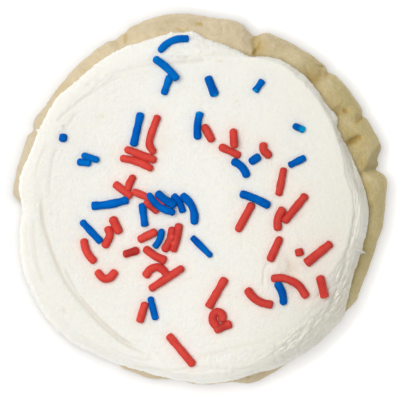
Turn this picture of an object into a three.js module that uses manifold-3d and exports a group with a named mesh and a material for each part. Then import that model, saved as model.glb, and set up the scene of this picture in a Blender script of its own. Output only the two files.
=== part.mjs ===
// An iced sugar cookie in millimetres, +Z up, lying on its flat underside at z = 0.
// Two solids: the baked cookie, and the white icing spread on it with its sugar strands fused on.
// Bearings are degrees counter-clockwise from +X. An inset is a distance inward from an outline.

import * as THREE from 'three';
import { mergeVertices } from 'three/addons/utils/BufferGeometryUtils.js';
import Module from 'manifold-3d';

const wasm = await Module();
wasm.setup();

// ---- driving dimensions ----

const SEGMENTS = 132;              // steps round the cookie and round the icing
const COOKIE_RADIUS = 46;          // nominal, before the uneven outline
const COOKIE_TOP_HEIGHT = 10.5;    // level of the baked top under the icing
const COOKIE_WIDEST_HEIGHT = 4.2;  // where the side bulges furthest
const COOKIE_FOOT_INSET = 2.6;     // the flat underside stops this far inside the outline
const LUMP_HEIGHT = 0.22;          // swell of the rim between its creases

const ICING_GAP = 0.3;             // clearance between icing and cookie
const ICING_TOP = 14.2;            // level of the smoothed middle
const ICING_EDGE_ON_RIM = 10.8;    // height of the widest line where the rim shows outside it
const ICING_EDGE_OVER_SIDE = 9.3;  // the same where the icing hangs over the cookie's shoulder
const GROOVE_RADIUS = 38;          // nominal ring where the flat middle ends
const BAND_WIDTH = 6;              // nominal width from that ring to the icing's edge
const CRUMBLE_HEIGHT = 0.3;        // broken ridges at the lower right

const BLUE_DIAMETER = 1.85;
const RED_DIAMETER = 2;
const STRAND_SIDES = 6;
const STRAND_RISE = 0.25;          // share of its diameter that a strand's axis lies above the icing

// ---- uneven outlines: [bearing, radius] ----

const COOKIE_OUTLINE = [
  [0, 46.5], [5.5, 47.1], [8, 46.3], [12, 45.5], [16.5, 47.2], [25, 46.5], [31, 46.3], [41, 45.9],
  [49, 45.6], [56, 45.4], [66, 44.9], [71, 44.9], [74, 44.1], [76, 45], [79, 45.4], [86, 45.5],
  [98, 46.9], [112, 46.5], [114.5, 45.7], [122, 45.6], [140, 45.2], [148, 45.2], [154, 45.9],
  [166, 46.1], [178, 46.9], [183, 44.3], [192, 45.4], [206, 47.3], [220, 47.8], [231, 46.7],
  [242, 45.7], [246, 46.6], [254, 46.5], [263, 45.6], [270, 46.4], [279, 46.5], [287, 48],
  [292, 47.3], [297, 46.8], [301, 46], [310, 46], [320, 45.8], [326, 46.6], [333, 45.9],
  [345, 45.55], [352, 46.3],
];

// Creases that run in from the rim: bearing, bite, half-width in degrees, reach inward, fall.
const CREASES = [
  { bearing: 9.4, bite: 1.3, half: 1.4, reach: 3, fall: 0.4 },
  { bearing: 27, bite: 0.7, half: 1.4, reach: 2.5, fall: 0.5 },
  { bearing: 44.7, bite: 0.7, half: 1.5, reach: 3, fall: 0.6 },
  { bearing: 71.4, bite: 1.8, half: 2.2, reach: 6.5, fall: 1.5 },
  { bearing: 118, bite: 0.7, half: 1.5, reach: 2.5, fall: 0.6 },
  { bearing: 157.6, bite: 0.9, half: 1.5, reach: 2, fall: 0.5 },
];

const ICING_OUTLINE = [
  [4, 41.1], [8.4, 40.4], [16, 39.2], [27, 38.6], [31, 39.9], [36, 39.5], [43, 40], [52, 40.35],
  [60, 40.1], [66, 39], [71, 37.8], [78, 38.6], [88, 40.2], [92, 41.6], [99, 42], [107, 41.9],
  [122, 42.5], [135, 42.6], [146, 43.8], [155, 43.8], [162, 43.8], [175, 45.4], [183, 44.6],
  [192, 46.1], [206, 48], [220, 48.5], [228, 48.1], [235, 47], [243, 46.1], [252, 45.4],
  [266, 45.6], [271, 46.2], [279, 46.1], [287, 45.7], [294, 46.4], [306, 46.6], [320, 46.4],
  [325, 44.9], [333, 42.9], [341, 42.35], [353, 42.4],
];

// Ring where the flat middle ends: the top of the side wall at the right, a spread line at the left.
const GROOVE = [
  [3, 37.6], [10, 36.8], [21, 37.3], [32, 38.1], [45, 38.5], [56, 39.1], [64, 38.6], [75, 36.6],
  [88, 35.4], [99, 35.2], [110, 36.3], [125, 37.2], [140, 38], [152, 37.8], [165, 37.8], [180, 39.3],
  [190, 39.6], [200, 39.1], [210, 38.4], [221, 38.6], [235, 39.4], [250, 39.8], [262, 40.4],
  [272, 39.2], [283, 38.3], [294, 38.3], [303, 37.2], [313, 36.6], [322, 36.6], [331, 37.6],
  [338, 38.4], [350, 38.4], [357, 38.3],
];

// ---- sections, as heights at distances ----

// The baked top by inset: a rounded shoulder, then the level top.
const COOKIE_TOP = [
  [0, COOKIE_WIDEST_HEIGHT], [0.35, 6.3], [1.2, 7.8], [2.2, 8.7], [3.4, 9.3], [5, 9.8],
  [6.8, 10.2], [9, COOKIE_TOP_HEIGHT], [COOKIE_RADIUS, COOKIE_TOP_HEIGHT],
];

// The band from the ring out to the icing's edge: at these shares of the way outward, the share of
// its height that is left, by bearing. It is a wall at the right and a full roll at the left.
const BAND_STATIONS = [0, 0.06, 0.2, 0.4, 0.65, 0.88, 1];
const BAND_SECTIONS = [
  [0, [0.99, 0.88, 0.87, 0.8, 0.42, 0.12, 0]],
  [9, [1, 0.86, 0.76, 0.55, 0.3, 0.08, 0]],
  [20, [1, 0.88, 0.74, 0.52, 0.28, 0.08, 0]],
  [62, [1, 0.94, 0.8, 0.58, 0.32, 0.09, 0]],
  [80, [1, 0.98, 0.94, 0.82, 0.6, 0.25, 0]],
  [105, [1, 1, 1.01, 1.01, 0.95, 0.66, 0]],
  [160, [1, 1, 1.01, 1.01, 0.97, 0.72, 0]],
  [250, [1, 1.01, 1.02, 1.01, 0.97, 0.7, 0]],
  [268, [1, 1, 1.01, 1.02, 1.01, 0.86, 0]],
  [284, [1, 1, 1, 1, 0.97, 0.8, 0]],
  [300, [1, 1, 0.99, 0.96, 0.84, 0.5, 0]],
  [316, [1, 0.985, 0.96, 0.87, 0.55, 0.2, 0]],
  [330, [0.99, 0.93, 0.83, 0.64, 0.38, 0.12, 0]],
  [346, [0.99, 0.87, 0.86, 0.8, 0.55, 0.18, 0]],
  [354, [0.99, 0.88, 0.9, 0.88, 0.62, 0.2, 0]],
];
const INNER_RINGS = [36.8, 34.5];

// ---- relief ----

// Broad hollows: centre x, y, half-length, half-width, heading, depth.
const RIM_HOLLOWS = [
  [28, 31, 2.8, 1.8, 55, 1],
  [34.8, 21.8, 2, 1.1, 8, 0.7],
  [38, 14.6, 2.6, 1.2, 28, 0.6],
];
const ICING_HOLLOWS = [
  [-25.2, 30, 1.6, 0.9, 80, 0.3],
  [-1, 34.4, 6, 0.9, 4, 0.3],
];

// Piece that broke away from the rim at the right: its outline from above, as the brink and the
// corners outside the cookie, and the face it left, by its height where the brink starts and its
// slopes outward and along the brink.
const BROKEN_BRINK = [
  [40.1, 6], [41.1, 7.7], [41.8, 9.2], [42.3, 10.8], [43.3, 12], [44.6, 13.9], [46, 16.6],
];
const BROKEN_OUTSIDE = [[52, 16.6], [52, 8.6]];
const BROKEN_HEIGHT = 9.9;
const BROKEN_SLOPE_OUTWARD = 0.85;
const BROKEN_SLOPE_ALONG = 0.3;

// Short cracks and pits: end x, y, other end x, y, width, depth.
const RIM_CRACKS = [
  [-0.7, 43.8, 0.2, 43.7, 1.3, 0.8],
  [-5.6, 42.5, -4, 42, 0.7, 0.6],
  [-18.5, 41.2, -18.8, 39, 0.8, 0.7],
  [13.3, 36.3, 14, 37.3, 0.8, 0.9],
  [32.2, 31.8, 31.2, 30.4, 0.7, 0.7],
  [36.3, 22.1, 36.7, 21.9, 1.1, 0.9],
  [40.8, 20.8, 39.4, 19.2, 0.8, 0.7],
  [37.2, 14.1, 39.9, 15.5, 1.2, 1],
  [40.2, 6.2, 40.6, 6.4, 0.9, 0.7],
  [41.2, -12.5, 43.6, -13, 0.7, 0.6],
];
const ICING_DENTS = [
  [22.4, -15.5, 22.9, -21.8, 3.2, 0.35],
  [24.6, -4.5, 25.2, -4.6, 1.8, 0.25],
  [16.9, -16.2, 16, -17.7, 0.6, 0.3],
  [16, -17.7, 15.7, -21.3, 0.6, 0.3],
  [-34, 18.1, -33.4, 17.3, 0.7, 0.4],
];

// Edge of the last stroke of the spreading knife, across the middle, and its thickness.
const STROKE_EDGE = [[-6, 30.5], [0.2, 23.2], [5.5, 11], [8, 1], [10.5, -9.2], [10.3, -17.2]];
const STROKE_WIDTH = 3;
const STROKE_THICKNESS = 0.25;

// ---- sugar strands ----

// Straight or bowed: end x, y, other end x, y, thickness, bow to the left, lift of each end.
const BLUE_STRANDS = [
  [-9.8, 37.2, -3.5, 40, 1.05, 0.9], [-11, 34.8, -6, 30.2, 1, 0.3, 0, 1.1],
  [-7.6, 30.3, -8.9, 26.6, 1.05], [2.1, 30, 3.6, 26.2, 1.15], [15.3, 29.1, 14, 27.3, 0.95],
  [-0.1, 21.1, -0.6, 15.5, 1.05, -0.3], [8.5, 9.3, 11.6, 6, 1.1, 0.5],
  [12.9, 9.4, 14.4, 10.4, 1.2], [23.8, 18.1, 25.4, 17.4, 1, 0, 0.9], [22.7, 8.6, 25.7, 10.1],
  [10.6, 1.2, 16.8, -1.5, 1.1, 0.2, 0, 0.2], [19.4, -21.3, 20.8, -25.8, 1, 0.4],
  [-14.9, 20.9, -16.5, 13.8, 1.05], [-26.4, -1.7, -18.5, -0.3, 1.15, -0.3],
  [-14.4, -1.7, -13.8, -6.2], [-12.6, 0.9, -6.9, -3.3, 0.95, -0.8, 1.3, 0.9],
  [-10.4, 1.3, -6.6, -1.4, 1.15, -0.2, 1.1, 0.6], [-6.4, 0.6, -4.4, -2.8, 1, 0.3],
  [-4.2, 0.7, -1.4, -5.7, 1.05, 1], [-9.6, -8.1, -11, -11.6, 0.9, 0.3],
  [-1.6, -9.9, 2.4, -13.9, 0.9], [-29.2, -5.9, -25.1, -10.3, 0.9], [-12.3, -25, -11.2, -29.5, 0.9],
  [-34.2, 14.9, -34.1, 15.6, 1.15], [-28.9, 10.8, -25.8, 9.8, 0.9, 0, 0.5, 0.2],
  [-30, 9.2, -27.8, 9],
];
const RED_STRANDS = [
  [1.2, 17.9, 2.8, 14.9, 1.1], [8.3, 16.8, 8.5, 13.4, 0.95, 0, 0.2, 1.1], [5.4, 12.9, 9.4, 11],
  [20.8, 7.1, 19.7, 1.5, 0.95], [26.1, 0.6, 21.3, -5.3, 1.05], [20.5, -2.8, 19.4, -7.2, 1.1, -0.5],
  [12.8, -1.6, 9.6, -7.5, 1.05], [19.8, -10.1, 17.6, -14.9, 1.05],
  [24.7, -13.1, 24.8, -13.5, 1.15], [32.2, -11.4, 26.9, -15.7, 1.15], [30, -19.8, 31, -23.9, 1.1],
  [12, -22.9, 17.4, -26.3, 1, -0.8], [6, -20.3, 2.4, -26.5, 1.05], [4.2, -32.5, 7.2, -31.3, 1.1],
  [-7.5, -34.4, -2, -41], [-18.1, 12.3, -11.6, 9.8], [-19.2, 10.1, -12.4, 7.7, 1, 0.4],
  [-20.9, 3.5, -17.6, 0.9], [-16.2, 1.7, -9.2, -1.2, 0.9], [-13.3, -0.9, -11, -2.9, 0.9],
  [-14.8, -10, -11.4, -8.3, 1.05], [-18.5, -13.7, -15.9, -12.9, 0.95],
  [-4.7, -17.4, -12, -22.2, 0.95, 0, 0.3, 0.1], [-28.9, -10.6, -26.6, -15.3, 1.05, -0.5],
  [-21.7, -5.1, -20.3, -8, 1.1], [-13.8, -26.4, -14.9, -30.1],
];

// Curled ones: thickness, and the points that their middle line passes.
const RED_CURLS = [
  [1.1, [[15.8, 13.4], [15.9, 12.2], [17.1, 10.9]]],
  [1.05, [[18.4, -19.8], [21.1, -19.8], [24.4, -21.4], [26.3, -24]]],
  [1.05, [[5.6, -30], [5.5, -28.9], [4.3, -28.1], [3.2, -29.1], [3.3, -30.6], [4.4, -32]]],
  [1, [[-10.7, 20.2], [-12.2, 16.1], [-12.6, 13.6], [-11.7, 11.9]]],
  [0.95, [[-16.8, 5.3], [-17.6, 3.8], [-17.9, 2.7]]],
  [1.05, [[-6.9, -7.7], [-7.4, -10.1], [-8.7, -12.5]]],
  [1.05, [[-5.3, -6.8], [-5.8, -9.7], [-6.6, -12.5]]],
  [1.05, [[-13.4, -12.6], [-11.2, -14.2], [-9.1, -15.2]]],
  [1.1, [[-13.4, -18.9], [-12.4, -17.6], [-10.7, -17], [-9.3, -17.6], [-8.3, -18.9]]],
  [1.1, [[-22.9, -7.5], [-22.5, -9.1], [-23.6, -11.5]]],
  [1.1, [[-25.4, -18.4], [-24.5, -19.5], [-23.5, -19.9], [-22.3, -19.5], [-21.4, -18.4]]],
];

// ---- small helpers ----

const radians = (degrees) => degrees * Math.PI / 180;
const bearingOf = (x, y) => (Math.atan2(y, x) * 180 / Math.PI + 360) % 360;
const mix = (a, b, share) => a + (b - a) * share;
const bump = (distance, half) => Math.exp(-((distance / half) ** 2));

// Eases from 0 at one value to 1 at the other, whichever of the two is larger.
function smoothStep(from, to, value) {
  const share = THREE.MathUtils.clamp((value - from) / (to - from), 0, 1);
  return share * share * (3 - 2 * share);
}

// Straight interpolation in a list of [distance, height].
function heightAt(section, distance) {
  let k = 1;
  while (k < section.length - 1 && section[k][0] < distance) {
    k += 1;
  }
  const [x0, z0] = section[k - 1];
  const [x1, z1] = section[k];
  return mix(z0, z1, THREE.MathUtils.clamp((distance - x0) / (x1 - x0), 0, 1));
}

// Smooth closed interpolation in a list of [bearing, value], with no overshoot between points.
function roundAt(list, bearing) {
  const count = list.length;
  const entry = (k) => {
    const turn = Math.floor(k / count);
    const [angle, value] = list[k - turn * count];
    return [angle + 360 * turn, value];
  };
  let k = 0;
  while (k < count && entry(k)[0] <= bearing) {
    k += 1;
  }
  const slope = (j) => (entry(j + 1)[1] - entry(j)[1]) / (entry(j + 1)[0] - entry(j)[0]);
  const tangent = (j) => {
    const before = slope(j - 1);
    const after = slope(j);
    return before * after <= 0 ? 0 : 2 * before * after / (before + after);
  };
  const [a0, v0] = entry(k - 1);
  const [a1, v1] = entry(k);
  const span = a1 - a0;
  const t = (bearing - a0) / span;
  const keep = 2 * t ** 3 - 3 * t ** 2 + 1;
  return keep * v0 + (1 - keep) * v1
    + span * ((t ** 3 - 2 * t ** 2 + t) * tangent(k - 1) + (t ** 3 - t ** 2) * tangent(k));
}

function turnFrom(bearing, other) {
  return Math.abs((bearing - other + 540) % 360 - 180);
}

function hollowsAt(hollows, x, y) {
  let depth = 0;
  for (const [cx, cy, halfLength, halfWidth, heading, deep] of hollows) {
    const c = Math.cos(radians(heading));
    const s = Math.sin(radians(heading));
    const along = (x - cx) * c + (y - cy) * s;
    const across = (y - cy) * c - (x - cx) * s;
    depth += Math.max(deep * bump(along, halfLength) * bump(across, halfWidth) - 0.02, 0);
  }
  return depth;
}

// ---- form of the cookie ----

function cookieRadius(bearing) {
  let radius = roundAt(COOKIE_OUTLINE, bearing);
  for (const crease of CREASES) {
    radius -= crease.bite * bump(turnFrom(bearing, crease.bearing), crease.half);
  }
  return radius;
}

// Swells, creases and hollows of the baked rim, which fade out under the icing.
function rimRelief(x, y, inset) {
  const bearing = bearingOf(x, y);
  const swell = Math.sin(radians(bearing * 9 + 70)) + 0.7 * Math.sin(radians(bearing * 17 + 20));
  let rise = LUMP_HEIGHT * swell * smoothStep(8.5, 3, inset);
  for (const crease of CREASES) {
    const fade = 1 - smoothStep(crease.reach * 0.5, crease.reach * 1.3, inset);
    rise -= crease.fall * fade * bump(turnFrom(bearing, crease.bearing), crease.half);
  }
  return rise - hollowsAt(RIM_HOLLOWS, x, y);
}

function cookieTopAt(x, y) {
  const shrink = COOKIE_RADIUS / cookieRadius(bearingOf(x, y));
  const inset = COOKIE_RADIUS - Math.hypot(x, y) * shrink;
  return heightAt(COOKIE_TOP, inset) + rimRelief(x, y, inset);
}

// ---- form of the icing ----

const icingRadius = (bearing) => roundAt(ICING_OUTLINE, bearing);
const grooveRadius = (bearing) => roundAt(GROOVE, bearing);

// Height of the icing's widest line: on the rim, or lower where it hangs over the shoulder.
function icingEdgeHeight(bearing) {
  const beyond = icingRadius(bearing) - cookieRadius(bearing);
  return mix(ICING_EDGE_ON_RIM, ICING_EDGE_OVER_SIDE, smoothStep(-2.5, 0.2, beyond));
}

// Broken ridges where the knife left the icing, at the lower right.
function crumbleAt(x, y) {
  const bearing = bearingOf(x, y);
  const place = bump(turnFrom(bearing, 322), 22) * smoothStep(34.5, 37, Math.hypot(x, y));
  return CRUMBLE_HEIGHT * place * Math.sin(x * 1.7 + y * 0.6) * Math.sin(y * 1.9 - x * 0.5 + 1);
}

// Share of the height at a share of the way out from the ring, turned smoothly round the icing.
function bandHeight(bearing, share) {
  const section = BAND_STATIONS.map((station, k) => {
    const round = BAND_SECTIONS.map(([at, heights]) => [at, heights[k]]);
    return [station, roundAt(round, bearing)];
  });
  return heightAt(section, share);
}

function icingTopAt(x, y) {
  const bearing = bearingOf(x, y);
  const radius = Math.hypot(x, y);
  const groove = grooveRadius(bearing);
  const relief = crumbleAt(x, y) - hollowsAt(ICING_HOLLOWS, x, y);
  if (radius < groove) {
    return ICING_TOP + relief;
  }
  const share = Math.min((radius - groove) / (icingRadius(bearing) - groove), 1);
  return mix(icingEdgeHeight(bearing), ICING_TOP, bandHeight(bearing, share)) + relief * (1 - share);
}

// ---- solids ----

// A closed form turned about Z from a section of [radius, height], run from the underside up.
function turned(section) {
  const points = section.map(([radius, height]) => new THREE.Vector2(radius, height));
  const geometry = new THREE.LatheGeometry(points, SEGMENTS);
  geometry.rotateX(Math.PI / 2);
  return geometry;
}

// Moves every vertex of a geometry to the point that place(x, y, z) gives.
function reshaped(geometry, place) {
  const position = geometry.getAttribute('position');
  for (let k = 0; k < position.count; k += 1) {
    position.setXYZ(k, ...place(position.getX(k), position.getY(k), position.getZ(k)));
  }
  return geometry;
}

// A closed body for the joining and cutting, with equal corners merged and flat slivers left out.
function solidOf(geometry) {
  const bare = new THREE.BufferGeometry();
  bare.setAttribute('position', geometry.getAttribute('position'));
  bare.setIndex(geometry.getIndex());
  const merged = mergeVertices(bare, 1e-3);
  const index = merged.getIndex().array;
  const corners = [];
  for (let k = 0; k < index.length; k += 3) {
    const [a, b, c] = [index[k], index[k + 1], index[k + 2]];
    if (a !== b && b !== c && c !== a) {
      corners.push(a, b, c);
    }
  }
  return new wasm.Manifold(new wasm.Mesh({
    numProp: 3,
    vertProperties: new Float32Array(merged.getAttribute('position').array),
    triVerts: new Uint32Array(corners),
  }));
}

function geometryOf(solid) {
  const mesh = solid.getMesh();
  const geometry = new THREE.BufferGeometry();
  geometry.setAttribute('position', new THREE.BufferAttribute(new Float32Array(mesh.vertProperties), 3));
  geometry.setIndex(new THREE.BufferAttribute(new Uint32Array(mesh.triVerts), 1));
  return geometry;
}

// The cookie, grown by a clearance where it is to be cut out of the icing.
function cookieBody(clearance) {
  const side = [[0, 0], [COOKIE_RADIUS - COOKIE_FOOT_INSET, 0], [COOKIE_RADIUS - 0.8, 1.4]];
  const top = COOKIE_TOP.map(([inset, height]) => [COOKIE_RADIUS - inset, height]);
  return solidOf(reshaped(turned([...side, ...top]), (x, y, z) => {
    const bearing = bearingOf(x, y);
    const nominal = Math.hypot(x, y);
    const scale = (cookieRadius(bearing) + clearance) / COOKIE_RADIUS;
    if (z < COOKIE_WIDEST_HEIGHT - 0.01) {
      return [x * scale, y * scale, z];
    }
    const upper = smoothStep(COOKIE_WIDEST_HEIGHT, 7.5, z);
    const rise = rimRelief(x * scale, y * scale, COOKIE_RADIUS - nominal);
    return [x * scale, y * scale, z + upper * rise + clearance];
  }));
}

// What broke away at the right: a block over its outline, whose underside is the sloping face.
function brokenBody() {
  const corners = [...BROKEN_BRINK, ...BROKEN_OUTSIDE].map(([x, y]) => new THREE.Vector2(x, y));
  const upright = { depth: 2 * COOKIE_TOP_HEIGHT, bevelEnabled: false };
  const block = new THREE.ExtrudeGeometry(new THREE.Shape(corners), upright);
  const [x0, y0] = BROKEN_BRINK[0];
  const [x1, y1] = BROKEN_BRINK[BROKEN_BRINK.length - 1];
  const brink = new THREE.Vector2(x1 - x0, y1 - y0).normalize();
  return solidOf(reshaped(block, (x, y, z) => {
    const along = (x - x0) * brink.x + (y - y0) * brink.y;
    const outward = (x - x0) * brink.y - (y - y0) * brink.x;
    const face = BROKEN_HEIGHT - BROKEN_SLOPE_OUTWARD * outward - BROKEN_SLOPE_ALONG * along;
    return [x, y, z > 0 ? z : face];
  }));
}

// A low ball stretched from one end to the other, for a crack, a pit or a dent.
function crackBody([x0, y0, x1, y1, width, depth], surfaceAt) {
  const ball = new THREE.OctahedronGeometry(1, 1);
  const length = Math.hypot(x1 - x0, y1 - y0);
  ball.scale((length + width) / 2, width / 2, depth);
  ball.rotateZ(Math.atan2(y1 - y0, x1 - x0));
  const [x, y] = [(x0 + x1) / 2, (y0 + y1) / 2];
  ball.translate(x, y, surfaceAt(x, y) + 0.05);
  return solidOf(ball);
}

// The icing's own form, with an underside that lies inside the cookie.
function icingBlank() {
  const edge = GROOVE_RADIUS + BAND_WIDTH;
  const under = [[0, -2.6], [edge - 2.4, -2.6], [edge - 0.4, -1.2]];
  const band = BAND_STATIONS.map((share) => [GROOVE_RADIUS + share * BAND_WIDTH, 1]).reverse();
  const middle = INNER_RINGS.map((radius) => [radius, 1]);
  return solidOf(reshaped(turned([...under, ...band, ...middle, [0, 1]]), (x, y, z) => {
    const bearing = bearingOf(x, y);
    const nominal = Math.hypot(x, y);
    const groove = grooveRadius(bearing);
    const past = Math.max((nominal - GROOVE_RADIUS) / BAND_WIDTH, 0);
    const radius = nominal <= GROOVE_RADIUS
      ? nominal / GROOVE_RADIUS * groove
      : mix(groove, icingRadius(bearing), past);
    const scale = nominal > 0 ? radius / nominal : 1;
    if (z > 0) {
      return [x * scale, y * scale, icingTopAt(x * scale, y * scale)];
    }
    return [x * scale, y * scale, icingEdgeHeight(bearing) + z];
  }));
}

// The step that the last knife stroke left: a thin wedge, steep on its outer side.
function strokeBody() {
  const wedge = new THREE.Shape();
  wedge.moveTo(0.3, -STROKE_WIDTH);
  wedge.lineTo(-STROKE_THICKNESS, 0);
  wedge.lineTo(0.3, 0.2);
  wedge.closePath();
  const path = new THREE.CatmullRomCurve3(
    STROKE_EDGE.map(([x, y]) => new THREE.Vector3(x, y, icingTopAt(x, y))),
  );
  return solidOf(new THREE.ExtrudeGeometry(wedge, { steps: 12, extrudePath: path }));
}

// A round-ended strand along a line of points, resting part-sunk in the icing.
function strandBody(points, diameter, pieces, startLift = 0, endLift = 0) {
  const last = points.length - 1;
  const path = new THREE.CatmullRomCurve3(points.map(([x, y], k) => {
    const lift = STRAND_RISE * diameter + mix(startLift, endLift, k / last);
    return new THREE.Vector3(x, y, icingTopAt(x, y) + lift);
  }));
  const length = path.getLength();
  const strand = new THREE.CapsuleGeometry(diameter / 2, length, 2, STRAND_SIDES, pieces);
  return solidOf(reshaped(strand, (side, along, up) => {
    const inside = THREE.MathUtils.clamp(along, -length / 2, length / 2);
    const share = inside / length + 0.5;
    const centre = path.getPointAt(share);
    const forward = path.getTangentAt(share);
    const left = new THREE.Vector3(-forward.y, forward.x, 0).normalize();
    const above = new THREE.Vector3().crossVectors(forward, left);
    centre.addScaledVector(forward, along - inside);
    centre.addScaledVector(left, -side);
    centre.addScaledVector(above, up);
    return [centre.x, centre.y, centre.z];
  }));
}

// A straight or bowed strand, through five points along an arc that swells to the left.
function bowedStrand([x0, y0, x1, y1, thickness = 1, bow = 0, startLift = 0, endLift = 0], diameter) {
  const length = Math.hypot(x1 - x0, y1 - y0);
  const points = [0, 0.25, 0.5, 0.75, 1].map((share) => {
    const aside = 4 * bow * share * (1 - share) / length;
    return [mix(x0, x1, share) - aside * (y1 - y0), mix(y0, y1, share) + aside * (x1 - x0)];
  });
  const pieces = Math.abs(bow) > 0.2 ? 2 + Math.round(Math.abs(bow)) : 1;
  return strandBody(points, thickness * diameter, pieces, startLift, endLift);
}

// ---- sub-parts ----

function makeCookie() {
  let cookie = cookieBody(0).subtract(brokenBody());
  for (const crack of RIM_CRACKS) {
    cookie = cookie.subtract(crackBody(crack, cookieTopAt));
  }
  return cookie;
}

function makeIcing() {
  let icing = icingBlank().subtract(cookieBody(ICING_GAP));
  icing = icing.add(strokeBody());
  for (const dent of ICING_DENTS) {
    icing = icing.subtract(crackBody(dent, icingTopAt));
  }
  for (const strand of BLUE_STRANDS) {
    icing = icing.add(bowedStrand(strand, BLUE_DIAMETER));
  }
  for (const strand of RED_STRANDS) {
    icing = icing.add(bowedStrand(strand, RED_DIAMETER));
  }
  for (const [thickness, points] of RED_CURLS) {
    icing = icing.add(strandBody(points, thickness * RED_DIAMETER, points.length));
  }
  return icing;
}

function namedMesh(name, solid, color, roughness) {
  const material = new THREE.MeshStandardMaterial({ color, roughness, metalness: 0 });
  const mesh = new THREE.Mesh(geometryOf(solid), material);
  mesh.name = name;
  return mesh;
}

// Both meshes moved together so that the whole is centred in X and Y and stands on z = 0.
function centred(group) {
  const box = new THREE.Box3().setFromObject(group);
  const middle = box.getCenter(new THREE.Vector3());
  for (const mesh of group.children) {
    mesh.geometry.translate(-middle.x, -middle.y, -box.min.z);
  }
  return group;
}

const whole = new THREE.Group();
whole.name = 'iced_sugar_cookie';
whole.add(namedMesh('cookie', makeCookie(), 0xd9c08f, 0.85));
whole.add(namedMesh('icing', makeIcing(), 0xf4f1e6, 0.55));

export default centred(whole);
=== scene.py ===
"""An iced sugar cookie: baked cookie, spread icing, red and blue sugar strands.

Forms are worked out in millimetres and written to the meshes in metres. Bearings are
degrees counter-clockwise from +X, and an inset is a distance inward from an outline.
"""

import math

import bmesh
import bpy
import numpy as np
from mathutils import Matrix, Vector


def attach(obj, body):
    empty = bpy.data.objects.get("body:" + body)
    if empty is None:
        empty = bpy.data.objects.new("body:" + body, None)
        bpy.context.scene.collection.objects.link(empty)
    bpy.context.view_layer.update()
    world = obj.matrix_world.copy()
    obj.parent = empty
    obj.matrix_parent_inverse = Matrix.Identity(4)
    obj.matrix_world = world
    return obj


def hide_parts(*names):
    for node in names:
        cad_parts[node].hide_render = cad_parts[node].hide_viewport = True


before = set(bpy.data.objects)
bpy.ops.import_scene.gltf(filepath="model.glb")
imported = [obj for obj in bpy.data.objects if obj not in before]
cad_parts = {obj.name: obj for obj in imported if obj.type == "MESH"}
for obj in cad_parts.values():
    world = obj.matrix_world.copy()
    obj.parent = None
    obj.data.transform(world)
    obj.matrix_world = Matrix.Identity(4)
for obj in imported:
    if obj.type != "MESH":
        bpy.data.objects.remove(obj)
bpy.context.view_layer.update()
scene = bpy.context.scene

MM = 0.001

# ---- named sizes ----

COOKIE_RADIUS = 46.0
COOKIE_WIDEST_HEIGHT = 4.2
COOKIE_TOP_HEIGHT = 10.5
COOKIE_STEPS = 720
BARE_MIDDLE = 20  # bearing of the middle of the bare rim

ICING_TOP = 14.2
ICING_EDGE_ON_RIM = 10.8
ICING_EDGE_OVER_SIDE = 9.3
ICING_CENTRE = (-1.6, -2.2)
ICING_CELLS = 296
MIDDLE_SHARE = 0.74  # share of the icing's cells inside the groove ring
WALL_MIDDLE = 5  # bearing of the middle of the steep wall
RAGGED_EDGE = 0.09
# Rings of the icing's underside, from its edge inward: their insets, and how far they lie below
# the edge until, from the resting level on, the underside lies on the cookie.
UNDER_INSETS = [0, 0.25, 0.9, 1.6, 2.6, 5, 9, 20]
UNDER_DROPS = [0, 0.7, 1.3, 2, 2.6, 2.6, 2.6, 2.6]
RESTING_LEVEL = 3

BLUE_DIAMETER = 1.85
RED_DIAMETER = 2.0
STRAND_RISE = 0.25  # rise of a strand's middle line over the icing, as a share of its diameter
STRAND_STEPS = 16
CURVE_PIECES = 12  # pieces of a strand's middle line between two of its points
TIP_SHARE = 0.8  # how far a tip reaches past the middle line, as a share of the radius
FLAT_END_REACH = 0.8  # how near a broken end lies to its place in the list
# Within this margin a strand dyes the icing and paints light and shade on it.
STAIN_AND_SHADE_REACH = 4  # margin round a strand in which it stains the icing
MERGE_DISTANCE = 1e-3

TABLE_CELLS = 320
TABLE_DROP = 0.2
TABLE_REACH = [(0, 0), (0.9, 66), (1, 1200)]
SHADE_SHIFT = (0.1, -0.45)

# Light and camera, in metres.
WINDOW_PLACE = (-0.6, 0.24, 1.75)
WINDOW_AIM = (0, 0, 0.01)
CAMERA_PLACE = (0, -0.00025, 2.5)
CAMERA_LENS = 897

# Outlines: bearing, radius.
COOKIE_OUTLINE = [
    (0, 46.5), (5.5, 47.1), (8, 46.3), (12, 45.5), (16.5, 47.2), (25, 46.5), (31, 46.3), (41, 45.9),
    (49, 45.6), (56, 45.4), (66, 44.9), (71, 44.9), (74, 44.1), (76, 45), (79, 45.4), (86, 45.5),
    (98, 46.9), (112, 46.5), (114.5, 45.7), (122, 45.6), (140, 45.2), (148, 45.2), (154, 45.9),
    (166, 46.1), (178, 46.9), (183, 44.3), (192, 45.4), (206, 47.3), (220, 47.8), (231, 46.7), (242, 45.7),
    (246, 46.6), (254, 46.5), (263, 45.6), (270, 46.4), (279, 46.5), (287, 48), (292, 47.3), (297, 46.8),
    (301, 46), (310, 46), (320, 45.8), (326, 46.6), (333, 45.9), (345, 45.55), (352, 46.3),
]

# Creases that run in from the rim: bearing, bite, half-width in degrees, reach inward, fall.
CREASES = [
    (9.4, 1.4, 1.1, 3, 0.2), (27, 0.7, 1.2, 2.5, 0.25), (44.7, 0.7, 1.4, 3, 0.7),
    (71.4, 1.8, 2, 6.5, 0.7), (118, 0.7, 1.4, 2.5, 0.7), (157.6, 0.9, 1.5, 2, 0.5),
]

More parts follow.
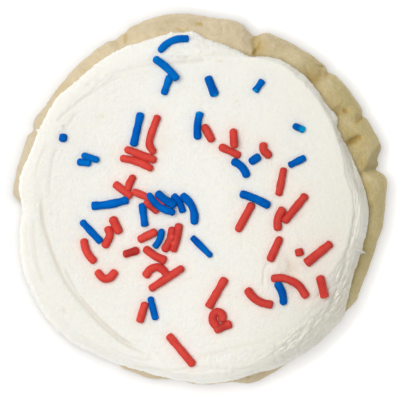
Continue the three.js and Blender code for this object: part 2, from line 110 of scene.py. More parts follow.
ICING_OUTLINE = [
    (4, 41.1), (8.4, 40.4), (16, 39.2), (27, 38.6), (31, 39.9), (36, 39.5), (43, 40), (52, 40.35),
    (60, 40.1), (66, 39), (71, 37.8), (78, 38.6), (88, 40.2), (92, 41.6), (99, 42), (107, 41.9),
    (122, 42.5), (135, 42.6), (146, 43.8), (155, 43.8), (162, 43.8), (175, 45.4), (183, 44.6), (192, 46.1),
    (206, 48), (220, 48.5), (228, 48.1), (235, 47), (243, 46.1), (252, 45.4), (266, 45.6), (271, 46.2),
    (279, 46.1), (287, 45.7), (294, 46.4), (306, 46.6), (320, 46.4), (325, 44.9), (333, 42.9),
    (341, 42.35), (353, 42.4),
]

# Small spikes that the knife pulled out of the edge: bearing, length, half-width in degrees.
SPIKES = [
    (157.1, 0.9, 0.5), (341.9, 1.2, 0.4), (99.8, 0.4, 0.6), (96.2, -0.15, 1.2), (92.6, 0.45, 0.6),
]

# Ring where the flat middle ends: the wall's top at the right, a spread line at the left.
GROOVE = [
    (3, 37.6), (10, 36.8), (21, 37.3), (32, 38.1), (45, 38.5), (56, 39.1), (64, 38.6), (75, 36.6),
    (88, 35.4), (99, 35.2), (110, 36.3), (125, 37.2), (140, 38), (152, 37.8), (165, 37.8), (180, 39.3),
    (190, 39.6), (200, 39.1), (210, 38.4), (221, 38.6), (235, 39.4), (250, 39.8), (262, 40.4), (272, 39.2),
    (283, 38.3), (294, 38.3), (303, 37.2), (313, 36.6), (322, 36.6), (331, 37.6), (338, 38.4), (350, 38.4),
    (357, 38.3),
]

# Sections: the cookie's by inset and height, the icing's by bearing and the shares of its height
# at shares of the band's width.
COOKIE_SIDE = [(COOKIE_RADIUS, 0), (12, 0), (2.9, 0), (2.2, 0.15), (0.8, 1.4), (0.15, 2.8)]
COOKIE_TOP = [
    (0, COOKIE_WIDEST_HEIGHT), (0.35, 6.3), (1.2, 7.8), (2.2, 8.7), (3.4, 9.3), (5, 9.8), (6.8, 10.2),
    (9, COOKIE_TOP_HEIGHT), (COOKIE_RADIUS, COOKIE_TOP_HEIGHT),
]
BAND_STATIONS = [0, 0.06, 0.2, 0.4, 0.65, 0.88, 1]
BAND_SECTIONS = [
    (0, (0.99, 0.88, 0.87, 0.8, 0.42, 0.12, 0)),
    (9, (1, 0.86, 0.76, 0.55, 0.3, 0.08, 0)),
    (20, (1, 0.88, 0.74, 0.52, 0.28, 0.08, 0)),
    (62, (1, 0.94, 0.8, 0.58, 0.32, 0.09, 0)),
    (80, (1, 0.98, 0.94, 0.82, 0.6, 0.25, 0)),
    (105, (1, 1, 1.01, 1.01, 0.95, 0.66, 0)),
    (160, (1, 1, 1.01, 1.01, 0.97, 0.72, 0)),
    (250, (1, 1.01, 1.02, 1.01, 0.97, 0.7, 0)),
    (268, (1, 1, 1.01, 1.02, 1.01, 0.86, 0)),
    (284, (1, 1, 1, 1, 0.97, 0.8, 0)),
    (300, (1, 1, 0.99, 0.96, 0.84, 0.5, 0)),
    (316, (1, 0.985, 0.96, 0.87, 0.55, 0.2, 0)),
    (330, (0.99, 0.93, 0.83, 0.64, 0.38, 0.12, 0)),
    (346, (0.99, 0.87, 0.86, 0.8, 0.55, 0.18, 0)),
    (354, (0.99, 0.88, 0.9, 0.88, 0.62, 0.2, 0)),
]

# Broad hollows: centre x, y, half-length, half-width, heading, depth.
RIM_HOLLOWS = [
    (27, 31, 2.4, 1.8, 52, 0.5), (34.6, 21.8, 2.4, 1.1, 12, 0.8), (-5, 44, 7, 1.1, 4, 0.25),
    (38, 14.6, 2.6, 1.2, 28, 0.8), (40.2, 20.2, 1.6, 0.9, 40, 0.4), (15.6, 37.6, 2.2, 1.2, 60, 0.5),
    (-17.6, 39.6, 1.8, 1, 80, 0.35), (42.6, -1.5, 4, 1.4, 95, 0.3), (38, 25, 2, 1.2, 130, 0.35),
]
ICING_HOLLOWS = [
    (-25.2, 30, 1.6, 0.9, 80, 0.2), (-28, 28.6, 1.2, 0.7, 40, 0.1), (-1, 34.4, 6, 0.9, 4, 0.12),
    (22.6, -18.5, 4.4, 1.7, 97, 0.4), (24.9, -4.5, 1.4, 1, 0, 0.2), (-33.8, -27.9, 0.8, 0.4, 130, 0.16),
    (-12.1, -39, 0.5, 0.25, 150, 0.14), (-24.2, -36.5, 0.7, 0.4, 140, 0.06),
]

# Ledges of the rim: drop, slope of the fall, reach beyond it, lowest bearing, and points along
# the brink with the low side at the right.
BROKEN_SIDE = [
    (3.6, 0.85, 20, 9.4, [(40.1, 6), (41.1, 7.7), (41.8, 9.2), (42.3, 10.8), (43.3, 12), (44.6, 13.9),
        (46, 16.6)]),
]
RIM_FOLDS = [
    (1.1, 1.5, 2.6, 0, [(31.4, 33.2), (30.9, 30.8), (29.6, 29.3), (27.2, 28.4)]),
    (0.25, 0.6, 2, 0, [(32.3, 29.4), (30.9, 30.2), (30.6, 31.8)]),
    (1.1, 2, 3.2, 0, [(13.3, 35.2), (13, 37.8), (12.8, 39.8), (13.9, 41.8)]),
]

# Cracks and pits of the rim: end x, y, other end x, y, half-width, depth.
RIM_CRACKS = [
    (-0.7, 43.8, 0.2, 43.7, 0.55, 0.5), (-5.6, 42.5, -4, 42, 0.4, 0.4), (-3.6, 42.2, -3, 42.6, 0.35, 0.3),
    (-18.5, 41.2, -18.8, 39, 0.4, 0.4), (13.3, 36.3, 14, 37.3, 0.35, 0.8),
    (14.6, 37.8, 14.9, 38.9, 0.4, 0.5), (32.2, 31.8, 31.4, 30.7, 0.3, 0.35),
    (36.3, 22.1, 36.7, 21.9, 0.45, 0.8), (34, 21.2, 34.6, 21.4, 0.35, 0.4),
    (40.8, 20.8, 39.4, 19.2, 0.35, 0.6), (37.2, 14.1, 39.9, 15.5, 0.45, 1.1),
    (40.2, 6.2, 40.5, 6.4, 0.4, 0.7), (41.2, -12.5, 43.6, -13, 0.3, 0.4),
    (38.4, -9.4, 39.4, -9.6, 0.4, 0.6), (-29.2, 32.3, -28.7, 32.1, 0.35, 0.3),
    (12, -44.6, 12.4, -44.6, 0.4, 0.3), (30.8, 26.9, 31, 27, 0.3, 0.3),
]
ICING_CRACKS = [
    (16.9, -16.2, 16, -17.7, 0.3, 0.2), (16, -17.7, 15.7, -21.3, 0.28, 0.22),
    (-34, 18.1, -33.4, 17.3, 0.3, 0.3), (20.4, -17, 20.9, -20, 0.3, 0.15),
]

# Edges of the knife's strokes: step height, fade to the raised left side, points.
STROKE_EDGES = [
    (0.13, 3, [(-6, 30.5), (-2.5, 26.8), (0.2, 23.2), (2, 20), (5.5, 11), (7.2, 5.2), (8, 1), (10.5, -9.2),
        (10.8, -12.8), (10.3, -17.2)]),
    (0.2, 2.5, [(22, -31.8), (19.8, -33.5), (16.1, -35.7), (12, -36.4), (7.7, -37.4), (5, -38.3),
        (2.4, -38.7), (0.8, -39.4), (-0.8, -41.1)]),
    (0.22, 2.4, [(9.8, 35.9), (4.5, 35.9), (-0.5, 35.4), (-3, 34.9), (-7.3, 34.4), (-11.8, 33.6),
        (-15.3, 32.8), (-18.8, 32), (-22.3, 31.2), (-25, 29), (-28, 25.6)]),
]

# Middle line of the torn strip at the top.
TORN_STRIP = [(-10.5, 35.4), (-6, 35.1), (-2, 35.5), (2, 35.8)]

# Lines that the knife scratched: depth, half-width, points.
KNIFE_LINES = [
    (0.07, 0.35, [(-35.4, 13.5), (-36.7, 9.3), (-37.6, 3.7), (-37.3, -0.5)]),
    (0.07, 0.4, [(-38.1, 13.9), (-40.2, 9.7), (-41.4, 4.9)]),
    (0.15, 0.5, [(-39, 2.7), (-39.5, -0.2), (-39.5, -3.8), (-39, -6.9), (-37.9, -10.1), (-36.7, -13.6),
        (-35.6, -16.7), (-34.6, -18.8), (-33.4, -20.9), (-31.8, -23.3), (-29, -26.7), (-25.8, -30.3),
        (-23, -32.9), (-19, -36.1), (-15, -38.1), (-11.5, -39.4)]),
    (0.15, 0.35, [(-34.6, -16), (-33.5, -17.9), (-32.3, -20.3), (-30.6, -23.5), (-28.2, -26.5),
        (-25, -30.1), (-21.8, -32.9), (-19, -35.1), (-17, -36.3), (-14.7, -36.9)]),
    (0.08, 0.6, [(-41.6, -4.1), (-41.6, -9), (-40.7, -16), (-40.2, -18.5), (-39, -21), (-38.4, -22)]),
    (0.05, 0.5, [(-43.3, -5.5), (-43.5, -10), (-43, -13.2), (-42.3, -14.6)]),
    (0.06, 0.4, [(-22.6, -37.3), (-18.2, -39.2), (-14.7, -40.1), (-11.4, -39.9)]),
    (0.07, 0.4, [(-20, -41.1), (-16.5, -41.8), (-12.1, -42.2), (-7.3, -42.8), (-4.6, -42.6), (-2, -41.6),
        (1.5, -42), (8.6, -42.4), (12, -42), (14.9, -41.1)]),
    (0.16, 0.3, [(36.9, -11.5), (36.2, -15.2), (35.2, -18.7), (34, -22.9), (33, -25.2), (31.7, -29)]),
    (0.12, 0.35, [(37, -13.5), (35.8, -19.2), (34.4, -21.6), (33.3, -24.3), (31.9, -27.6), (30.2, -29.4),
        (28.1, -31.1)]),
    (0.1, 0.35, [(31.1, -29.7), (29.6, -31.5), (26, -34.4)]),
    (0.1, 0.3, [(22.6, -38), (20.2, -39.9)]),
    (0.08, 0.3, [(24.7, -15), (26.2, -16.9), (27.5, -18.8)]),
    (0.08, 0.5, [(-33.7, 21.6), (-34.9, 20.2), (-36, 19.3)]),
    (0.1, 0.35, [(-30.7, 21.6), (-32.4, 19.2), (-33.6, 17.6)]),
    (0.1, 0.4, [(-21.9, 29.4), (-25.4, 27.6), (-29.5, 24.9), (-32.4, 22.6), (-35.7, 19.4)]),
    (0.07, 0.3, [(-19.5, 30.6), (-23.2, 28.9), (-27.4, 26.7)]),
    (0.08, 0.25, [(-27.2, 29), (-28.4, 28.2)]),
    (0.12, 0.7, [(-12, 33.3), (-8, 33.9), (-3, 34.4), (2, 34.8)]),
    (0.06, 0.4, [(-36, 12.9), (-37.1, 7.8), (-37.4, 3.9)]),
    (0.16, 0.3, [(37.3, 13.2), (37.9, 9.4), (38.7, 5.9), (39.4, 3.2)]),
    (0.12, 0.25, [(38.4, 10.9), (38.9, 8), (39.6, 5.8)]),
    (0.2, 0.22, [(30.6, 23.9), (32, 21.9), (33.2, 19.9), (34, 17.6)]),
    (0.2, 0.2, [(33.4, 21.8), (34.5, 19.8)]),
]

# Painted shade on the steep wall's flank, and where the brow above it ends as a share of the band's
# width, both by bearing from -180 to 180.
WALL_FLANK_SHADE = [
    (-62, 0), (-50, 0.3), (-42, 0.4), (-36, 1.1), (-25, 1.05), (-17, 0.45), (-9, 0.15), (-3, 0.35),
    (3, 0.85), (12, 0.6), (25, 0.3), (45, 0.1), (60, 0),
]
WALL_BROW = [(-8, 0.6), (10, 0.2)]

# Brownish blushes in the icing's colour, partly painted shade, as in the dent where the first five lie: x,
# y, half-length, half-width, heading, strength.
BLUSHES_AND_SHADE = [
    (21.9, -16.2, 2.4, 0.6, 103, 0.8), (22.6, -22, 1.5, 1.1, 80, 0.8), (19.6, -16.3, 2.2, 0.4, 75, 0.7),
    (23.4, -17, 1.9, 1.4, 120, 0.85), (21.5, -18.1, 0.8, 0.6, 60, 0.7), (25.2, -4.2, 1.2, 0.6, 60, 0.5),
    (-25, -17, 5, 3, 45, 0.12), (5, -38, 7, 0.8, 12, 0.25), (-8.9, 12.6, 2.5, 2, 0, 0.12),
    (24.5, -9.5, 3, 0.5, 110, 0.25),
]
# Painted shade along scratches, brownish: strength, half-width, points.
SHADED_SCRATCHES = [
    (0.5, 0.4, [(-39.5, -0.5), (-39.1, -5.1), (-38.1, -9.4), (-37.1, -12.7), (-35.4, -16.7), (-34, -19)]),
    (0.6, 0.35, [(-30.6, -23.5), (-28.2, -26.5), (-25, -30.1), (-21.8, -32.9), (-19, -35.1),
        (-17, -36.3)]),
]
# Crumbs of dough in the icing, as the blushes.
CRUMBS = [
    (9.3, 24.5, 0.32, 0.2, 20, 0.9), (9.9, 23.5, 0.22, 0.18, 0, 0.7), (5.3, 34.4, 0.3, 0.18, 40, 0.6),
    (-25, 20.4, 1.5, 1.1, 40, 0.16), (-9, 14.3, 2.2, 1.6, 60, 0.1), (4.6, 34.4, 1.2, 0.3, 0, 0.3),
    (-24.6, 20.6, 0.3, 0.2, 0, 0.3), (-2.4, -39.6, 0.4, 0.3, 60, 0.4),
    (-33.8, -27.9, 0.8, 0.35, 130, 0.35),
]

# Browned places of the dough as the blushes, and pale ones with a strength below 0. The first two are
# painted shade in a hollow, and the third is a painted highlight on a lobe's top.
DOUGH_MARKS_AND_PAINTED_LIGHT = [
    (27.6, 31, 3, 1.9, -36, 0.45), (29, 29.6, 1, 1.6, -35, 0.4), (42.4, 5.2, 1.8, 0.8, -25, -0.4),
    (25, 34.7, 3.4, 1.4, -40, -0.35), (38, -24.7, 3, 1.2, -60, -0.3), (15.4, -44.6, 3.4, 0.8, 10, 0.12),
    (44, 3.4, 0.9, 0.9, 0, -0.25), (32.6, 25.9, 1.6, 1, -50, 0.25), (34.2, 22.6, 2.2, 1.1, -30, 0.35),
    (40.3, 20.4, 1.2, 0.7, 40, 0.3), (39.4, 14.9, 2, 0.8, 25, 0.2), (31.8, 29.2, 1.3, 1, -45, -0.35),
    (37, 19.2, 1.5, 1.1, -40, -0.35), (42, 12.3, 1.6, 0.8, -70, -0.25),
]

# Strands: end x, y, other end x, y, then thickness, bow to the left and lift of each end, where
# these aren't plain.
BLUE_STRANDS = [
    (-9.8, 37.2, -3.5, 40, 1.05, 0.9), (-11, 34.8, -6, 30.2, 1, 0.3, 0, 1.1),
    (-7.6, 30.3, -8.9, 26.6, 1.05), (2.1, 30, 3.6, 26.2, 1.15), (15.3, 29.1, 14, 27.3, 0.95),
    (-0.1, 21.1, -0.6, 15.5, 1.05, -0.3), (8.5, 9.3, 11.6, 6, 1.1, 0.5), (12.9, 9.4, 14.4, 10.4, 1.2),
    (23.8, 18.1, 25.4, 17.4, 1, 0, 0.9), (22.7, 8.6, 25.7, 10.1),
    (10.6, 1.2, 16.8, -1.5, 1.1, 0.2, 0, 0.2), (19.4, -21.3, 20.8, -25.8, 1, 0.4),
    (-14.9, 20.9, -16.5, 13.8, 1.05), (-26.4, -1.7, -18.5, -0.3, 1.15, -0.3), (-14.4, -1.7, -13.8, -6.2),
    (-12.6, 0.9, -6.9, -3.3, 0.95, -0.8, 1.3, 0.9), (-10.4, 1.3, -6.6, -1.4, 1.15, -0.2, 1.1, 0.6),
    (-6.4, 0.6, -4.4, -2.8, 1, 0.3), (-4.2, 0.7, -1.4, -5.7, 1.05, 1), (-9.6, -8.1, -11, -11.6, 0.9, 0.3),
    (-1.6, -9.9, 2.4, -13.9, 0.9), (-29.2, -5.9, -25.1, -10.3, 0.9), (-12.3, -25, -11.2, -29.5, 0.9),
    (-34.2, 14.9, -34.1, 15.6, 1.15), (-28.9, 10.8, -25.8, 9.8, 0.9, 0, 0.5, 0.2), (-30, 9.2, -27.8, 9),
]
RED_STRANDS = [
    (1.2, 17.9, 2.8, 14.9, 1.1), (8.3, 16.8, 8.5, 13.4, 0.95, 0, 0.2, 1.1), (5.4, 12.9, 9.4, 11),
    (20.8, 7.1, 19.7, 1.5, 0.95), (26.1, 0.6, 21.3, -5.3, 1.05), (20.5, -2.8, 19.4, -7.2, 1.1, -0.5),
    (12.8, -1.6, 9.6, -7.5, 1.05), (19.8, -10.1, 17.6, -14.9, 1.05), (24.7, -13.1, 24.8, -13.5, 1.15),
    (32.2, -11.4, 26.9, -15.7, 1.15), (30, -19.8, 31, -23.9, 1.1), (12, -22.9, 17.4, -26.3, 1, -0.8),
    (6, -20.3, 2.4, -26.5, 1.05), (4.2, -32.5, 7.2, -31.3, 1.1), (-7.5, -34.4, -2, -41),
    (-18.1, 12.3, -11.6, 9.8), (-19.2, 10.1, -12.4, 7.7, 1, 0.4), (-20.9, 3.5, -17.6, 0.9),
    (-16.2, 1.7, -9.2, -1.2, 0.9), (-13.3, -0.9, -11, -2.9, 0.9), (-14.8, -10, -11.4, -8.3, 1.05),
    (-18.5, -13.7, -15.9, -12.9, 0.95), (-4.7, -17.4, -12, -22.2, 0.95, 0, 0.3, 0.1),
    (-28.9, -10.6, -26.6, -15.3, 1.05, -0.5), (-21.7, -5.1, -20.3, -8, 1.1), (-13.8, -26.4, -14.9, -30.1),
]
# Curled ones: thickness, and the points that their middle line passes.
RED_CURLS = [
    (1.1, [(15.8, 13.4), (15.9, 12.2), (17.1, 10.9)]),
    (1.05, [(18.4, -19.8), (21.1, -19.8), (24.4, -21.4), (26.3, -24)]),
    (1.05, [(5.6, -30), (5.5, -28.9), (4.3, -28.1), (3.2, -29.1), (3.3, -30.6), (4.4, -32)]),
    (1, [(-10.7, 20.2), (-12.2, 16.1), (-12.6, 13.6), (-11.7, 11.9)]),
    (0.95, [(-16.8, 5.3), (-17.6, 3.8), (-17.9, 2.7)]),
    (1.05, [(-6.9, -7.7), (-7.4, -10.1), (-8.7, -12.5)]),
    (1.05, [(-5.3, -6.8), (-5.8, -9.7), (-6.6, -12.5)]),
    (1.05, [(-13.4, -12.6), (-11.2, -14.2), (-9.1, -15.2)]),
    (1.1, [(-13.4, -18.9), (-12.4, -17.6), (-10.7, -17), (-9.3, -17.6), (-8.3, -18.9)]),
    (1.1, [(-22.9, -7.5), (-22.5, -9.1), (-23.6, -11.5)]),
    (1.1, [(-25.4, -18.4), (-24.5, -19.5), (-23.5, -19.9), (-22.3, -19.5), (-21.4, -18.4)]),
]

# Strand ends that broke off flat: x, y.
FLAT_ENDS = [
    (-3.1, 40.1), (15.5, 29.4), (13.9, 27.1), (25.4, 17.5), (-26.5, -1.8), (-13.9, -6.2), (-11, -11.6),
    (-1.9, -10), (-25, -10.6), (17.4, -26.5), (2.6, -26.5), (31.2, -23.8), (27.1, -15.8), (24.9, -13.5),
    (-14.8, -30.1),
]
# Marks in the strands' colour: x, y, radius, strength, which is above 0 for pale ones. The last two are
# painted highlights where two strands meet.
STRAND_TINTS_AND_HIGHLIGHTS = [
    (3.8, 25.7, 0.5, 0.4), (13.6, 26.7, 0.6, 0.6), (-0.4, 21.8, 0.5, 0.5), (25.6, 17.4, 0.8, 0.7),
    (2.8, 28.6, 2, -0.3), (-8.7, 0.4, 1.5, -0.2), (-34.2, 15.3, 1.2, -0.3), (-8.5, 34, 7, 0.1),
    (-27.5, 10.4, 2.2, 0.1), (20, -23.6, 2.5, -0.25), (-17.2, -13.3, 1.8, -0.8), (5.6, -32, 1.3, -0.5),
    (-12.2, -2, 1.3, -0.5), (-6.7, -10, 2.6, -0.25), (-6.9, -9.4, 0.4, 0.8), (-6.9, -10.9, 0.4, 0.8),
]


# ---- colours ----

# Pale and tan dough, each with a darker, more yellow-brown partner for the right side that is partly
# browning and partly painted shade.
PALE_DOUGH = (0.74, 0.622, 0.43, 1)
GOLDEN_SHADED_DOUGH = (0.62, 0.52, 0.26, 1)
TAN_DOUGH = (0.64, 0.52, 0.335, 1)
BROWN_SHADED_DOUGH = (0.515, 0.42, 0.185, 1)
# Painted shade for the left side of the rim, the side that the lamp lights most.
LEFT_SHADE_DOUGH = (0.63, 0.54, 0.39, 1)
BROWN_PATCH = (0.5, 0.36, 0.12, 1)
DOUGH_GRAIN = (0.54, 0.42, 0.2, 1)
PALE_SPECK = (0.84, 0.77, 0.58, 1)
# Colours of cracks, which also paint shade into hollows, folds and low relief.
SHALLOW_CRACK_AND_SHADE = (0.56, 0.42, 0.16, 1)
DEEP_CRACK_AND_SHADE = (0.46, 0.31, 0.08, 1)
# Painted shade for the dough.
PAINTED_SHADE_DOUGH = (0.36, 0.28, 0.13, 1)
# Browned dough with painted shade, and pale dough with painted highlights.
BROWNED_AND_SHADED_DOUGH = (0.42, 0.28, 0.08, 1)
FLOURY_AND_HIGHLIT_DOUGH = (0.78, 0.68, 0.46, 1)

WHITE_ICING = (0.95, 0.945, 0.885, 1)
CREAMY_ICING = (0.94, 0.93, 0.865, 1)
# Painted shade for the right, the left and the lower right of the icing.
RIGHT_SHADE_ICING = (0.87, 0.85, 0.765, 1)
LEFT_SHADE_ICING = (0.9, 0.882, 0.82, 1)
CORNER_SHADE_ICING = (0.83, 0.81, 0.73, 1)
ICING_GRAIN = (0.8, 0.8, 0.72, 1)
# Dye, blushes, crumbs and painted light and shade of the icing: the mesh's mask, its strength and its
# colour.
ICING_STAINS_AND_SHADE = [
    # Dye bled from the strands, with painted light bounced off red ones and painted shadow beside blue
    # ones.
    ("red_dye_and_bounce", 0.26, (0.85, 0.55, 0.46, 1)), ("blue_dye_and_shadow", 0.14, (0.55, 0.6, 0.66, 1)),
    # Painted shade in creases and on the steep wall, and brownish blushes that are partly painted shade.
    ("crease_shade", 0.6, (0.62, 0.57, 0.46, 1)), ("blush_and_shade", 0.55, (0.7, 0.57, 0.45, 1)),
    ("crumb", 0.8, (0.72, 0.58, 0.3, 1)),
]

# Sugars: two near colours, one for pale marks and painted highlights and one for deep marks, gloss, how far
# light enters.
RED_SUGAR = (
    (0.8, 0.08, 0.06, 1), (0.68, 0.052, 0.038, 1), (0.85, 0.2, 0.16, 1), (0.42, 0.02, 0.02, 1),
    0.12, (1, 0.3, 0.25))
BLUE_SUGAR = (
    (0, 0.17, 0.63, 1), (0, 0.105, 0.5, 1), (0, 0.5, 0.85, 1), (0, 0.05, 0.3, 1),
    0.02, (0.25, 0.5, 1))

# Directions that colours change in.
RIGHT = (1, 0, 0)
LOWER_RIGHT = (0.9, -0.43, 0)
UNLIT_SIDE = (0.75, -0.66, 0)


# ---- numbers ----

def ease(start, end, value):
    """Eases from 0 at start to 1 at end, whichever is larger."""
    share = np.clip((value - start) / (end - start), 0, 1)
    return share * share * (3 - 2 * share)


def bump(distance, half):
    return np.exp(-((distance / half) ** 2))


def fading(distance, reach):
    """Stays 1 up to distance 0 and falls off beyond it."""
    return np.exp(-np.maximum(distance, 0) / reach)


def dips(relief, level):
    """How far a relief lies below minus the level, from 0 to 1."""
    return np.clip(-relief - level, 0, 1)


def mix(a, b, share):
    return a + (b - a) * share


def bearing_of(x, y):
    return np.degrees(np.arctan2(y, x)) % 360


def turn(bearing, other):
    """Degrees between two bearings."""
    return np.abs((bearing - other + 540) % 360 - 180)


def between(points, at):
    """Straight interpolation in (place, value) points."""
    return np.interp(at, [p[0] for p in points], [p[1] for p in points])


def round_at(points, bearing):
    """Smooth closed interpolation in (bearing, value) points, with no overshoot."""
    wrapped = [(a - 360, v) for a, v in points[-2:]] + points + [(a + 360, v) for a, v in points[:2]]
    angle, value = np.array(wrapped, dtype=float).T
    slope = np.diff(value) / np.diff(angle)
    before, after = slope[:-1], slope[1:]
    same = before * after > 0
    tangent = np.zeros(len(angle))
    tangent[1:-1] = np.where(same, 2 * before * after / np.where(same, before + after, 1), 0)
    k = np.clip(np.searchsorted(angle, bearing, side="right") - 1, 1, len(angle) - 3)
    span = angle[k + 1] - angle[k]
    t = (bearing - angle[k]) / span
    keep = 2 * t ** 3 - 3 * t ** 2 + 1
    return (keep * value[k] + (1 - keep) * value[k + 1]
            + span * ((t ** 3 - 2 * t ** 2 + t) * tangent[k] + (t ** 3 - t ** 2) * tangent[k + 1]))


def grain(x, y, seed, fineness=1):
    """Smooth random relief between -1 and 1, with as many swells to a unit as it is fine."""
    x, y = x * fineness, y * fineness
    i, j = np.floor(x), np.floor(y)
    u, v = x - i, y - j
    u, v = u * u * (3 - 2 * u), v * v * (3 - 2 * v)

    def corner(a, b):
        drawn = np.sin(a * 127.1 + b * 311.7 + seed * 74.7) * 43758.5453
        return 2 * (drawn - np.floor(drawn)) - 1

    low = mix(corner(i, j), corner(i + 1, j), u)
    high = mix(corner(i, j + 1), corner(i + 1, j + 1), u)
    return mix(low, high, v)


def ripple(value, seed):
    """The same relief along one direction."""
    return grain(value, 0 * value, seed)


def line_distance(x, y, points):
    """Distance to a broken line, positive to the left of travel, and share of its length."""
    best = np.full(x.shape, np.inf)
    signed, share = np.zeros((2, *x.shape))
    total = 0
    for (x0, y0), (x1, y1) in zip(points, points[1:]):
        dx, dy = x1 - x0, y1 - y0
        length = math.hypot(dx, dy)
        t = np.clip(((x - x0) * dx + (y - y0) * dy) / length ** 2, 0, 1)
        across, up = x - x0 - t * dx, y - y0 - t * dy
        distance = np.hypot(across, up)
        near = distance < best
        best = np.where(near, distance, best)
        signed = np.where(near, distance * np.sign(dx * up - dy * across), signed)
        share = np.where(near, total + t * length, share)
        total += length
    return signed, share / total


def ovals_at(ovals, x, y):
    """Sum of soft ovals: hollows by their depth, marks by their strength."""
    total = np.zeros(x.shape)
    for cx, cy, half_length, half_width, heading, strength in ovals:
        c, s = math.cos(math.radians(heading)), math.sin(math.radians(heading))
        along = (x - cx) * c + (y - cy) * s
        across = (y - cy) * c - (x - cx) * s
        total += strength * bump(along, half_length) * bump(across, half_width)
    return total


def cracks_at(cracks, x, y):
    depth = np.zeros(x.shape)
    for x0, y0, x1, y1, half, deep in cracks:
        signed, _ = line_distance(x, y, [(x0, y0), (x1, y1)])
        ragged = half * (1 + 0.35 * grain(x, y, 5, 1.6))
        depth = np.maximum(depth, deep * bump(signed, ragged))
    return depth


def ends_fade(along):
    return ease(0, 0.12, along) * ease(1, 0.88, along)


def ledges_at(ledges, x, y):
    fall = np.zeros(x.shape)
    for drop, slope, reach, lowest, points in ledges:
        signed, along = line_distance(x, y, points)
        beyond = np.maximum(-signed, 0)
        fade = ease(0, 0.04, along) * ease(1, 0.85, along)
        fade = fade * ease(lowest - 0.3, lowest + 0.5, bearing_of(x, y))
        fall += fade * np.minimum(slope * beyond, drop) * fading(beyond - drop / slope, reach)
    return fall


# ---- form of the cookie ----

def cookie_radius(bearing):
    radius = round_at(COOKIE_OUTLINE, bearing)
    for at, bite, half, _, _ in CREASES:
        radius = radius - bite * bump(turn(bearing, at), half)
    return radius


def crease_falls(bearing, inset):
    fall = np.zeros(bearing.shape)
    for at, _, half, reach, deep in CREASES:
        fade = 1 - ease(reach * 0.5, reach * 1.3, inset)
        fall += deep * fade * bump(turn(bearing, at), half)
    return fall


# ---- form of the icing ----

def icing_radius(bearing):
    radius = round_at(ICING_OUTLINE, bearing)
    for at, length, half in SPIKES:
        radius = radius + length * bump(turn(bearing, at), half)
    # The edge is plain where bearings start over, so that it has no step there.
    ragged = ripple(bearing * 0.4, 11) + 0.8 * ripple(bearing * 1.1, 12) + 0.6 * ripple(bearing * 2.3, 15)
    return radius + RAGGED_EDGE * ragged * ease(0, 4, turn(bearing, 0))


def icing_edge_height(bearing):
    beyond = icing_radius(bearing) - cookie_radius(bearing)
    return mix(ICING_EDGE_ON_RIM, ICING_EDGE_OVER_SIDE, ease(-2.5, 0.2, beyond))


def groove_radius(bearing):
    lumpy = 0.2 * ripple(bearing * 0.17, 13) + 0.1 * ripple(bearing * 0.6, 14)
    return round_at(GROOVE, bearing) + lumpy * ease(75, 50, turn(bearing, WALL_MIDDLE))


def band_height(bearing, share):
    """Height of the band round the middle, as a share, from 1 at its brink to 0 at the edge."""
    around = [round_at([(at, heights[i]) for at, heights in BAND_SECTIONS], bearing)
              for i in range(len(BAND_STATIONS))]
    height = around[0]
    for start, end, high, low in zip(BAND_STATIONS, BAND_STATIONS[1:], around, around[1:]):
        passed = np.clip((share - start) / (end - start), 0, 1)
        height = np.where(share > start, mix(high, low, passed), height)
    return height


def icing_base_at(x, y):
    """Height of the icing's plain form and the share of the way from groove ring to edge."""
    bearing = bearing_of(x, y)
    radius = np.hypot(x, y)
    groove = groove_radius(bearing)
    share = np.clip((radius - groove) / (icing_radius(bearing) - groove), 0, 1)
    brink = mix(1, band_height(bearing, np.zeros(x.shape)), ease(1.5, 0, groove - radius))
    section = np.where(share > 0, band_height(bearing, share), brink)
    return mix(icing_edge_height(bearing), ICING_TOP, section), share


def stroke_marks(x, y):
    """Rise, and painted shade in the creases, of the steps between the knife's strokes and of its
    scratches.
    """
    rise, crease_shade = np.zeros((2, *x.shape))
    for height, fade, points in STROKE_EDGES:
        signed, along = line_distance(x, y, points)
        height = height * ends_fade(along)
        rise += height * ease(-0.25, 0.35, signed) * fading(signed, fade)
        crease_shade = np.maximum(crease_shade, 1.6 * height * bump(signed + 0.15, 0.45))
    for depth, half, points in KNIFE_LINES:
        signed, along = line_distance(x, y, points)
        depth = depth * ends_fade(along)
        rise -= depth * bump(signed, half)
        crease_shade = np.maximum(crease_shade, 5 * depth * bump(signed, half * 0.8))
    return rise, crease_shade


